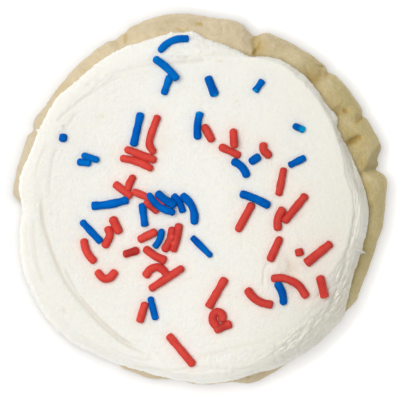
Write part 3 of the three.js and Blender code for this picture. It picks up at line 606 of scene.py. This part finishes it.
def wall_marks(x, y, share, bearing, radius, turned):
    """Rise of the steep wall, and painted shade on its flank, along its brink and in its dips: lumps,
    furrows, pebbles and a crumbled stretch.
    """
    within = radius - 37.8 - 0.09 * (336 - bearing) + 0.8 * grain(x, y, 34, 0.35)
    crumbly = ease(-0.8, 0.8, within) * ease(286, 300, bearing) * ease(344, 332, bearing)
    wall = ease(0, 0.15, share) * ease(62, 40, turn(bearing, WALL_MIDDLE)) * (1 - 0.7 * crumbly)
    rough = grain(radius * 1.1, turned * 13, 23) + 0.6 * grain(radius * 2, turned * 24, 30)
    furrowed = np.maximum(ease(24, 14, turn(bearing, 4)), bump(turn(bearing, 34), 6))
    furrows = grain(radius * 2.8, turned * 8, 35) * furrowed
    pebbly = grain(x, y, 39, 1.2) * bump(turn(bearing, 344), 12)
    torn = np.abs(grain(radius * 1.5, turned * 18, 24)) + 0.7 * np.abs(grain(radius * 2.9, turned * 36, 25))
    rise = wall * (0.2 * rough + 0.12 * furrows + 0.25 * pebbly) + 0.5 * crumbly * (torn - 0.55)
    dip = np.max([0.7 * dips(rough, 0.25), 0.9 * dips(pebbly, 0.2), 0.6 * dips(furrows, 0.3)], axis=0)
    crease_shade = np.maximum(wall * dip, 1.1 * crumbly * dips(torn, -0.45))
    either_way = (bearing + 180) % 360 - 180
    brow = between(WALL_BROW, either_way)
    blotches = 1 + 0.5 * grain(x, y, 38, 0.5)
    # painted shade on the wall's flank, in blotches
    flank = between(WALL_FLANK_SHADE, either_way) * ease(brow, brow + 0.2, share) * blotches
    # painted shade along the wall's brink
    brink = bump(radius - groove_radius(bearing) - 0.25, 0.35) * bump(turn(bearing, 348), 17)
    return rise, np.maximum(flank + crease_shade, 0.6 * brink)


def torn_marks(x, y, bearing, radius):
    """Rise, and painted shade in the dips, of the pebbled lower edge and of the torn strip at the top."""
    lower = bump(turn(bearing, 275), 22) * ease(37.5, 39.5, radius)
    pebbled = grain(x, y, 36, 1.3) + 0.7 * grain(x, y, 37, 2.4)
    signed, along = line_distance(x, y, TORN_STRIP)
    upper = bump(turn(bearing, 90), 13) * ease(35, 36.5, radius)
    upper = np.maximum(upper, 1.5 * ends_fade(along) * bump(signed, 0.8))
    dragged = grain(x * 0.5, y * 1.3, 26) + 0.8 * grain(x * 1.3, y * 2, 27)
    rise = 0.06 * lower * pebbled + 0.17 * upper * dragged
    return rise, np.maximum(0.3 * lower * dips(pebbled, 0.3), 0.5 * upper * dips(dragged, 0.3))


def knife_marks(x, y, share):
    """Rise of all the relief that spreading left, and painted shade in its creases, cracks and dips and on
    the steep wall, 0 to 1.
    """
    bearing, radius = bearing_of(x, y), np.hypot(x, y)
    cx, cy = ICING_CENTRE
    turned, out = np.arctan2(y - cy, x - cx), np.hypot(x - cx, y - cy)
    rises, creases = zip(stroke_marks(x, y), torn_marks(x, y, bearing, radius),
                         wall_marks(x, y, share, bearing, radius, turned))
    streak = grain(out * 1.5, turned * 5, 21) + 0.6 * grain(out * 3.1, turned * 8, 22)
    streaks = streak * (0.006 + 0.018 * ease(33, 37, out))
    swells = 0.04 * grain(x, y, 28, 0.16) + 0.014 * grain(x, y, 29, 0.9)
    cracks = cracks_at(ICING_CRACKS, x, y)
    rise = sum(rises) + streaks + swells - ovals_at(ICING_HOLLOWS, x, y) - cracks
    return rise * (1 - share ** 5), np.clip(np.max([*creases, 2 * cracks], axis=0), 0, 1)


# ---- strands ----

def curve_through(points):
    """Even points along a smooth curve through the given points."""
    control = np.array(points, dtype=float)
    control = np.vstack([2 * control[0] - control[1], control, 2 * control[-1] - control[-2]])
    t = np.linspace(0, 1, CURVE_PIECES, endpoint=False)[:, None]
    run = []
    for a, b, c, d in zip(control, control[1:], control[2:], control[3:]):
        run.append(0.5 * (2 * b + (c - a) * t + (2 * a - 5 * b + 4 * c - d) * t ** 2
                          + (3 * b - a - 3 * c + d) * t ** 3))
    return np.vstack(run + [control[-2:-1]])


def bowed_points(x0, y0, x1, y1, bow):
    """Five points from end to end along an arc that swells to the left."""
    length = math.hypot(x1 - x0, y1 - y0)
    points = []
    for share in (0, 0.25, 0.5, 0.75, 1):
        aside = 4 * bow * share * (1 - share) / length
        points.append((mix(x0, x1, share) - aside * (y1 - y0), mix(y0, y1, share) + aside * (x1 - x0)))
    return points


def strand_runs(strands, curls, diameter):
    """Each strand's middle line as points in space, with its thickness beside each point."""
    lines = []
    for strand in strands:
        x0, y0, x1, y1, thick, bow, first, last = strand + (1, 0, 0, 0)[len(strand) - 4:]
        lines.append((thick, bowed_points(x0, y0, x1, y1, bow), first, last))
    lines += [(thick, points, 0, 0) for thick, points in curls]
    runs = []
    for thick, points, first, last in lines:
        flat = curve_through(points)
        height, _ = icing_base_at(flat[:, 0], flat[:, 1])
        lift = np.linspace(first, last, len(flat)) + STRAND_RISE * diameter
        ends = [height[0], height[len(flat) // 2], height[-1]]
        level = np.interp(np.linspace(0, 2, len(flat)), [0, 1, 2], ends)
        runs.append(np.column_stack([flat, level + lift, np.full(len(flat), thick)]))
    return runs


BLUE_RUNS = strand_runs(BLUE_STRANDS, [], BLUE_DIAMETER)
RED_RUNS = strand_runs(RED_STRANDS, RED_CURLS, RED_DIAMETER)


def nearest_strand(x, y, runs, diameter):
    """Distance in the icing's plane to the nearest strand's side."""
    best = np.full(x.shape, np.inf)
    for run in runs:
        low, high = run[:, :2].min(axis=0) - STAIN_AND_SHADE_REACH, run[:, :2].max(axis=0) + STAIN_AND_SHADE_REACH
        near = (x > low[0]) & (x < high[0]) & (y > low[1]) & (y < high[1])
        signed, _ = line_distance(x[near], y[near], [tuple(p[:2]) for p in run[::4]])
        best[near] = np.minimum(best[near], np.abs(signed) - diameter / 2)
    return best


# ---- meshes ----

def corners_of(bm):
    return np.array([v.co[:] for v in bm.verts])


def move_corners(bm, places):
    for vert, place in zip(bm.verts, places):
        vert.co = place


def spun(section, steps):
    """A closed mesh: a section of (radius, height) points spun about Z."""
    bm = bmesh.new()
    verts = [bm.verts.new((radius, 0, z)) for radius, z in section]
    edges = [bm.edges.new(pair) for pair in zip(verts, verts[1:])]
    bmesh.ops.spin(bm, geom=verts + edges, cent=(0, 0, 0), axis=(0, 0, 1), angle=math.tau,
                   steps=steps, use_merge=True)
    bmesh.ops.remove_doubles(bm, verts=bm.verts, dist=MERGE_DISTANCE)
    return bm


def mesh_object(bm, name, material, places, masks):
    """An object of the mesh with its corners moved to their places in millimetres."""
    move_corners(bm, places * MM)
    bmesh.ops.recalc_face_normals(bm, faces=bm.faces)
    mesh = bpy.data.meshes.new(name)
    bm.to_mesh(mesh)
    bm.free()
    for key, values in masks.items():
        attribute = mesh.attributes.new(key, "FLOAT", "POINT")
        attribute.data.foreach_set("value", values.astype(np.float32))
    mesh.shade_smooth()
    mesh.materials.append(material)
    made = bpy.data.objects.new(name, mesh)
    scene.collection.objects.link(made)
    return made


def finish_piece(bm, name, node, material, places, masks):
    """Hands the finished mesh to the part in place of a node."""
    piece = mesh_object(bm, name, material, places, masks)
    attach(piece, "root")
    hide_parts(node)


def cookie_section():
    """Radius and height, from the middle of the underside round to the middle of the top."""
    insets = np.concatenate([np.linspace(0, 0.35, 6), np.linspace(0.35, 2.2, 10)[1:],
                             np.arange(2.5, 12, 0.33), [16, 30, COOKIE_RADIUS]])
    top = [(inset, float(between(COOKIE_TOP, inset))) for inset in insets]
    return [(COOKIE_RADIUS - inset, z) for inset, z in COOKIE_SIDE + top]


def make_cookie(material):
    """The section spun about Z, then pressed out to the uneven outline and its relief."""
    bm = spun(cookie_section(), COOKIE_STEPS)
    x, y, z = corners_of(bm).T
    bearing = bearing_of(x, y)
    inset = COOKIE_RADIUS - np.hypot(x, y)
    scale = cookie_radius(bearing) / COOKIE_RADIUS
    x, y = x * scale, y * scale
    upper = ease(COOKIE_WIDEST_HEIGHT, 7.5, z)
    rim = ease(9, 3, inset)
    swell = np.sin(np.radians(bearing * 9 + 70)) + 0.7 * np.sin(np.radians(bearing * 17 + 20))
    folded = ease(110, 60, turn(bearing, BARE_MIDDLE))
    lumps = 0.18 * swell + 0.22 * grain(x, y, 1, 0.22)
    folds = 0.3 * np.abs(grain(x * 0.3 + 4, y * 0.3, 8)) + 0.14 * np.abs(grain(x, y, 2, 0.8))
    relief = lumps + folds * (0.35 + 1.15 * folded)
    cracks = cracks_at(RIM_CRACKS, x, y)
    hollows = ovals_at(RIM_HOLLOWS, x, y)
    broken = ledges_at(BROKEN_SIDE, x, y)
    falls = crease_falls(bearing, inset) + ledges_at(RIM_FOLDS, x, y)
    crumb = 0.1 * grain(x, y, 3, 1.1) + 0.07 * grain(x, y, 4, 2.3)
    crumb = crumb + 0.35 * ease(0, 0.5, broken) * grain(bearing * 1.6, z * 0.4, 9)
    z = z + upper * (rim * relief + crumb - cracks - hollows - falls - broken)
    side = ease(3, 0.3, inset) * ease(0, 1.2, z) * ease(0, 3, turn(bearing, 0))
    out = 0.18 * grain(bearing * 0.35 + z * 0.1, z * 0.35, 6) + 0.06 * grain(bearing, z, 7, 0.9)
    swollen = 1 + side * out / COOKIE_RADIUS
    x, y = x * swollen, y * swollen
    # Yellow-brown in cracks, and painted shade in hollows, folds and low relief.
    crack_and_hollow_shade = cracks + 0.35 * hollows + 0.25 * falls - 0.5 * np.minimum(relief, 0)
    beside = np.abs(np.hypot(x, y) - icing_radius(bearing))
    # Painted shade: beside the icing's edge on the bare rim, in hollows and folds, and on the broken side's
    # face.
    painted_shade = fading(beside, 0.8) * ease(75, 45, turn(bearing, BARE_MIDDLE))
    painted_shade = painted_shade + 0.35 * hollows + 0.25 * falls + ease(0, 0.3, broken)
    finish_piece(bm, "baked_cookie", "cookie", material, np.column_stack([x, y, z]),
                 {"crack_and_hollow_shade": np.clip(crack_and_hollow_shade, 0, 1), "painted_shade": np.clip(painted_shade, 0, 1),
                  "browned_and_painted_light": ovals_at(DOUGH_MARKS_AND_PAINTED_LIGHT, x, y)})


def icing_blank():
    """A square grid with rings of walls hanging from its edge, a unit apart and closed below."""
    bm = bmesh.new()
    bmesh.ops.create_grid(bm, x_segments=ICING_CELLS, y_segments=ICING_CELLS, size=1)
    rim = [edge for edge in bm.edges if edge.is_boundary]
    for _ in UNDER_INSETS[1:]:
        grown = bmesh.ops.extrude_edge_only(bm, edges=rim)["geom"]
        ring = [item for item in grown if isinstance(item, bmesh.types.BMVert)]
        rim = [item for item in grown if isinstance(item, bmesh.types.BMEdge) and item.is_boundary]
        bmesh.ops.translate(bm, verts=ring, vec=(0, 0, -1))
    bmesh.ops.pointmerge(bm, verts=ring, merge_co=(0, 0, 1 - len(UNDER_INSETS)))
    return bm


def rounded_off(u, v):
    """Bearing and share of the way out for places in a square that becomes a disc."""
    size = np.maximum(np.abs(u), np.abs(v))
    with np.errstate(divide="ignore", invalid="ignore"):
        sideways = 45 * v / u + np.where(u < 0, 180, 0)
        upward = 90 - 45 * u / v + np.where(v < 0, 180, 0)
    angle = np.where(np.abs(u) >= np.abs(v), sideways, upward)
    return np.where(size > 0, angle, 0) % 360, size


def make_icing(material):
    """The blank rounded to a disc, raised to the spread form, and laid on the cookie below."""
    bm = icing_blank()
    u, v, hanging = corners_of(bm).T
    level = np.round(-hanging).astype(int)
    angle, size = rounded_off(u, v)
    groove = groove_radius(angle)
    passed = np.clip((size - MIDDLE_SHARE) / (1 - MIDDLE_SHARE), 0, 1) ** 0.8
    outer = mix(groove, icing_radius(angle), passed)
    radius = np.where(size <= MIDDLE_SHARE, size / MIDDLE_SHARE * groove, outer)
    radius = radius - np.take(UNDER_INSETS, level)
    x, y = radius * np.cos(np.radians(angle)), radius * np.sin(np.radians(angle))
    base, share = icing_base_at(x, y)
    marks, crease_shade = knife_marks(x, y, share)
    red = nearest_strand(x, y, RED_RUNS, RED_DIAMETER)
    blue = nearest_strand(x, y, BLUE_RUNS, BLUE_DIAMETER)
    pressed = 0.06 * bump(np.minimum(red, blue) - 0.1, 0.45)
    under = icing_edge_height(angle) - np.take(UNDER_DROPS, level)
    resting = between(COOKIE_TOP, COOKIE_RADIUS * (1 - radius / cookie_radius(angle)))
    under = np.where(level >= RESTING_LEVEL, np.maximum(under, resting), under)
    z = np.where(level == 0, base + marks - pressed, under)
    places = np.column_stack([x, y, z])
    places[level == len(UNDER_INSETS) - 1] = (0, 0, COOKIE_TOP_HEIGHT)
    # Brownish blushes, partly painted shade in a dent and along scratches.
    blush_and_shade = ovals_at(BLUSHES_AND_SHADE, x, y)
    for strength, half, points in SHADED_SCRATCHES:
        signed, along = line_distance(x, y, points)
        blush_and_shade += strength * ends_fade(along) * bump(signed, half)
    # painted shade in creases and on the steep wall, on the top surface only
    masks = {"crease_shade": crease_shade * (level == 0), "blush_and_shade": blush_and_shade, "crumb": ovals_at(CRUMBS, x, y)}
    # dye bled from the strands, with painted bounce light beside red ones and painted shadow beside blue
    # ones
    for key, beside in (("red_dye_and_bounce", red), ("blue_dye_and_shadow", blue)):
        masks[key] = 0.6 * fading(beside, 0.5) + 0.4 * fading(beside, 2.2)
    finish_piece(bm, "spread_icing", "icing", material, places, masks)


def end_section(end, radius, draw):
    """Section of a strand's end, from its tip outward: rounded, or flat where it broke off."""
    flat = any(math.dist(end[:2], place) < FLAT_END_REACH for place in FLAT_ENDS)
    depth, bend = (0.52 * radius, 0.8) if flat else (radius * (0.875 + 0.225 * draw), 0.9)
    tip = TIP_SHARE * radius
    arc = np.linspace(0, math.pi / 2, 8)
    return [(radius * math.sin(a) ** bend, depth - tip - depth * math.cos(a) ** bend) for a in arc]


def make_strand(run, diameter, seed):
    """One strand: a section spun about its own length, then bent along its run."""
    thick, run = run[0, 3], run[:, :3]
    travelled = np.concatenate([[0], np.cumsum(np.linalg.norm(np.diff(run, axis=0), axis=1))])
    length = travelled[-1]
    radius = diameter / 2
    draws = grain(seed * 3.7 + np.array([0, 1.6, 4.4]), np.full(3, diameter), 33)
    first = end_section(run[0], radius, draws[0])
    last = end_section(run[-1], radius, draws[1])
    straight = [(radius, s) for s in np.linspace(0, length, max(4, int(length / 0.35)))[1:-1]]
    bm = spun(first + straight + [(out, length - s) for out, s in reversed(last)], STRAND_STEPS)
    a, b, s = corners_of(bm).T
    inside = np.clip(s, 0, length)

    def along_run(values):
        return np.column_stack([np.interp(inside, travelled, values[:, k]) for k in range(3)])

    centre, forward = along_run(run), along_run(np.gradient(run, travelled, axis=0))
    forward /= np.linalg.norm(forward, axis=1)[:, None]
    left = np.column_stack([-forward[:, 1], forward[:, 0], 0 * a])
    left /= np.linalg.norm(left, axis=1)[:, None]
    above = np.cross(forward, left)
    worn = thick + 0.06 * draws[2] + 0.07 * ripple(s * 0.6 + seed * 9.3, 31)
    worn = worn + 0.04 * grain(s * 1.3, b * 1.5 + seed, 32)
    move_corners(bm, centre + forward * (s - inside)[:, None] + left * (a * worn)[:, None]
                 + above * (b * worn)[:, None])
    return bm


def make_strands(name, runs, diameter, material):
    """All the strands of one colour as a single mesh."""
    together = bmesh.new()
    for seed, run in enumerate(runs):
        strand = make_strand(run, diameter, seed)
        spare = bpy.data.meshes.new("strand")
        strand.to_mesh(spare)
        strand.free()
        together.from_mesh(spare)
        bpy.data.meshes.remove(spare)
    places = corners_of(together)
    tint_and_highlight = np.zeros(len(places))
    for x, y, reach, strength in STRAND_TINTS_AND_HIGHLIGHTS:
        away = np.hypot(places[:, 0] - x, places[:, 1] - y)
        tint_and_highlight += strength * ease(reach * 1.5, reach * 0.5, away)
    finish_piece(together, name, "icing", material, places, {"tint_and_highlight": tint_and_highlight})


# ---- materials ----
# A helper that is given a socket adds its node to the tree that the socket is in.

def new_material(name):
    """A material, its tree and shader, and the socket that gives a point's place."""
    material = bpy.data.materials.new(name)
    material.use_nodes = True
    tree = material.node_tree
    place = tree.nodes.new("ShaderNodeTexCoord").outputs["Object"]
    return material, tree, tree.nodes["Principled BSDF"], place


def set_inputs(node, inputs):
    """Links a node's inputs to the sockets given for them, and sets the rest to their values."""
    for key, value in inputs.items():
        if isinstance(value, bpy.types.NodeSocket):
            node.id_data.links.new(value, node.inputs[key])
        else:
            node.inputs[key].default_value = value


def add_node(tree, kind, settings=None, inputs=None):
    node = tree.nodes.new(kind)
    for key, value in (settings or {}).items():
        setattr(node, key, value)
    set_inputs(node, inputs or {})
    return node


def ramp_of(value, low, high):
    """A mask from 0 at low to 1 at high."""
    return add_node(value.id_data, "ShaderNodeMapRange", inputs={
        "Value": value, "From Min": low, "From Max": high}).outputs["Result"]


def make_mottle_group():
    """The uneven grain that all the materials share: the bare noise and a mask cut from it."""
    group = bpy.data.node_groups.new("mottle", "ShaderNodeTree")
    group.interface.new_socket("Vector", in_out="INPUT", socket_type="NodeSocketVector")
    for name in ("Scale", "Detail", "Low", "High"):
        group.interface.new_socket(name, in_out="INPUT", socket_type="NodeSocketFloat")
    for name in ("Mask", "Raw"):
        group.interface.new_socket(name, in_out="OUTPUT", socket_type="NodeSocketFloat")
    given = group.nodes.new("NodeGroupInput").outputs
    noise = add_node(group, "ShaderNodeTexNoise", inputs={
        "Vector": given["Vector"], "Scale": given["Scale"], "Detail": given["Detail"], "Roughness": 0.55})
    mask = ramp_of(noise.outputs["Fac"], given["Low"], given["High"])
    add_node(group, "NodeGroupOutput", inputs={"Mask": mask, "Raw": noise.outputs["Fac"]})


def mottle(place, scale, low=0.3, high=0.7, detail=3, output="Mask"):
    """The shared grain at a place: its mask, or its bare noise."""
    return add_node(place.id_data, "ShaderNodeGroup", {"node_tree": bpy.data.node_groups["mottle"]}, {
        "Vector": place, "Scale": scale, "Detail": detail, "Low": low, "High": high}).outputs[output]


def blend(share, first, second):
    """The first colour where the share is 0 and the second where it is 1."""
    mixed = add_node(share.id_data, "ShaderNodeMix", {"data_type": "RGBA"}, {0: share, 6: first, 7: second})
    return mixed.outputs[2]


def painted(color, coats):
    """The colour under coats of others, each with the share that it covers."""
    for share, coat in coats:
        color = blend(share, color, coat)
    return color


def times(a, b):
    return add_node(a.id_data, "ShaderNodeMath", {"operation": "MULTIPLY"}, {0: a, 1: b}).outputs[0]


def toward(place, direction):
    """How far a place lies in a direction."""
    return add_node(place.id_data, "ShaderNodeVectorMath", {"operation": "DOT_PRODUCT"}, {
        0: place, 1: direction}).outputs["Value"]


def mask_of(tree, key):
    """A mask that the mesh carries."""
    return add_node(tree, "ShaderNodeAttribute", {"attribute_name": key}).outputs["Fac"]


def fine_bump(place, scale, distance, strength, detail=3):
    """The bump of the shared grain, for a shader's normal."""
    height = mottle(place, scale, detail=detail, output="Raw")
    return add_node(place.id_data, "ShaderNodeBump", inputs={
        "Height": height, "Distance": distance, "Strength": strength}).outputs["Normal"]


def baked_dough():
    material, tree, shader, place = new_material("baked_dough")
    rightward = toward(place, RIGHT)
    # Darker and more yellow-brown towards the right: partly browning, partly painted shade on the side away
    # from the lamp.
    golden_shaded_side = ramp_of(rightward, 0.014, 0.036)
    pale = blend(golden_shaded_side, PALE_DOUGH, GOLDEN_SHADED_DOUGH)
    tan = blend(golden_shaded_side, TAN_DOUGH, BROWN_SHADED_DOUGH)
    fine = mottle(place, 700, 0.4, 0.75, 4)
    patches = mottle(place, 330, 0.5, 0.7, 2)
    specks = mottle(place, 2300, 0.6, 0.7, 2)
    crack_and_hollow_shade = mask_of(tree, "crack_and_hollow_shade")
    browned_and_painted_light = mask_of(tree, "browned_and_painted_light")
    color = blend(mottle(place, 90, 0.35, 0.7), pale, tan)
    color = painted(color, [
        # painted shade: the left side of the rim darker
        (ramp_of(rightward, -0.03, -0.045), LEFT_SHADE_DOUGH),
        (times(patches, times(golden_shaded_side, 0.7)), BROWN_PATCH),
        (times(fine, 0.4), DOUGH_GRAIN),
        (times(specks, 0.35), PALE_SPECK),
        # yellow-brown of cracks, with painted shade in hollows and folds
        (ramp_of(crack_and_hollow_shade, 0.1, 0.5), SHALLOW_CRACK_AND_SHADE),
        (ramp_of(crack_and_hollow_shade, 0.45, 1), DEEP_CRACK_AND_SHADE),
        # painted shade beside the icing, in hollows and on the broken face
        (times(mask_of(tree, "painted_shade"), 0.5), PAINTED_SHADE_DOUGH),
        # Browned places and painted shade, then pale places and painted highlights.
        (ramp_of(browned_and_painted_light, 0, 1), BROWNED_AND_SHADED_DOUGH),
        (ramp_of(browned_and_painted_light, 0, -1), FLOURY_AND_HIGHLIT_DOUGH)])
    set_inputs(shader, {
        "Base Color": color, "Roughness": 0.8, "Normal": fine_bump(place, 1500, 0.0003, 0.9, 4)})
    return material


def white_icing():
    material, tree, shader, place = new_material("white_icing")
    rightward = toward(place, RIGHT)
    corner = toward(place, LOWER_RIGHT)
    fine = mottle(place, 800, 0.45, 0.75)
    # The icing's dye, blushes and crumbs, and its painted light and shade.
    stains_and_shades = [(times(mask_of(tree, key), strength), stain_and_shade_colour) for key, strength, stain_and_shade_colour in ICING_STAINS_AND_SHADE]
    color = blend(mottle(place, 45), WHITE_ICING, CREAMY_ICING)
    color = painted(color, [
        # Painted shade: towards the right, on the left side that the lamp lights most, and at the lower
        # right.
        (ramp_of(rightward, 0, 0.042), RIGHT_SHADE_ICING),
        (ramp_of(rightward, -0.01, -0.042), LEFT_SHADE_ICING),
        (ramp_of(corner, 0.023, 0.036), CORNER_SHADE_ICING),
        *stains_and_shades,
        (times(fine, 0.3), ICING_GRAIN)])
    set_inputs(shader, {
        "Base Color": color, "Roughness": 0.5, "Subsurface Weight": 0.25,
        "Subsurface Radius": (1, 0.85, 0.6), "Subsurface Scale": 0.0015,
        "Normal": fine_bump(place, 1500, 0.00022, 0.8)})
    return material


def sugar_strand(name, light, dark, pale, deep, gloss, waxy):
    """Waxy sugar of two near colours, with pale and deep marks, painted highlights, and painted shade
    towards the right.
    """
    material, tree, shader, place = new_material(name)
    unlit = ramp_of(toward(place, RIGHT), -0.018, 0.026)
    tint_and_highlight = mask_of(tree, "tint_and_highlight")
    color = blend(mottle(place, 260), light, dark)
    color = painted(color, [
        # painted shade: darker towards the right, away from the lamp
        (times(unlit, 0.14), (0, 0, 0, 1)),
        # pale marks and painted highlights, then deep marks
        (ramp_of(tint_and_highlight, 0, 1), pale),
        (ramp_of(tint_and_highlight, 0, -1), deep)])
    set_inputs(shader, {
        "Base Color": color, "Roughness": 0.5, "Specular IOR Level": gloss,
        "Subsurface Weight": 0.35, "Subsurface Radius": waxy, "Subsurface Scale": 0.0008,
        "Normal": fine_bump(place, 1800, 0.00004, 0.5)})
    return material


def white_table():
    material, tree, shader, place = new_material("white_table")
    shade = mask_of(tree, "shade")
    unlit = ramp_of(toward(place, UNLIT_SIDE), -0.03, 0.045)
    bare = blend(mottle(place, 6), (0.95, 0.95, 0.95, 1), (0.94, 0.94, 0.94, 1))
    glow = blend(unlit, (0.18, 0.18, 0.185, 1), (0.46, 0.46, 0.47, 1))
    set_inputs(shader, {
        "Base Color": blend(shade, bare, (0.55, 0.56, 0.575, 1)), "Roughness": 0.9,
        "Emission Strength": 1, "Emission Color": blend(shade, (0.5, 0.5, 0.5, 1), glow)})
    return material


# ---- table, light and camera ----

def make_table():
    """A flat table, finely divided near the cookie, where its colour is softly shaded."""
    bm = bmesh.new()
    bmesh.ops.create_grid(bm, x_segments=TABLE_CELLS, y_segments=TABLE_CELLS, size=1)
    x, y, _ = corners_of(bm).T
    size = np.maximum(np.maximum(np.abs(x), np.abs(y)), 1e-6)
    reach = between(TABLE_REACH, size) / size
    x, y = x * reach, y * reach
    shift_x, shift_y = SHADE_SHIFT
    bearing = bearing_of(x - shift_x, y - shift_y)
    outline = np.maximum(cookie_radius(bearing), icing_radius(bearing))
    beyond = np.hypot(x - shift_x, y - shift_y) - outline
    shade = 0.36 * fading(beyond, 0.9) + 0.64 * ease(4.5, 2.2, beyond)
    places = np.column_stack([x, y, 0 * x - TABLE_DROP])
    table = mesh_object(bm, "table", white_table(), places, {"shade": shade})


def light_room():
    world = bpy.data.worlds.new("soft_room")
    world.use_nodes = True
    set_inputs(world.node_tree.nodes["Background"], {"Color": (1, 1, 1, 1), "Strength": 0.33})
    scene.world = world
    scene.view_settings.view_transform = "Standard"
    data = bpy.data.lights.new("window", "AREA")
    data.shape = "SQUARE"
    data.size = 1.5
    data.energy = 28
    data.color = (1, 0.992, 0.972)
    window = bpy.data.objects.new("window", data)
    window.location = WINDOW_PLACE
    aim = Vector(WINDOW_AIM) - window.location
    window.rotation_euler = aim.to_track_quat("-Z", "Y").to_euler()
    scene.collection.objects.link(window)


def add_camera():
    data = bpy.data.cameras.new("above")
    data.sensor_width = 36
    data.lens = CAMERA_LENS
    camera = bpy.data.objects.new("above", data)
    camera.location = CAMERA_PLACE
    scene.collection.objects.link(camera)
    scene.camera = camera


make_mottle_group()
make_cookie(baked_dough())
make_icing(white_icing())
make_strands("red_strands", RED_RUNS, RED_DIAMETER, sugar_strand("red_sugar", *RED_SUGAR))
make_strands("blue_strands", BLUE_RUNS, BLUE_DIAMETER, sugar_strand("blue_sugar", *BLUE_SUGAR))
make_table()
light_room()
add_camera()
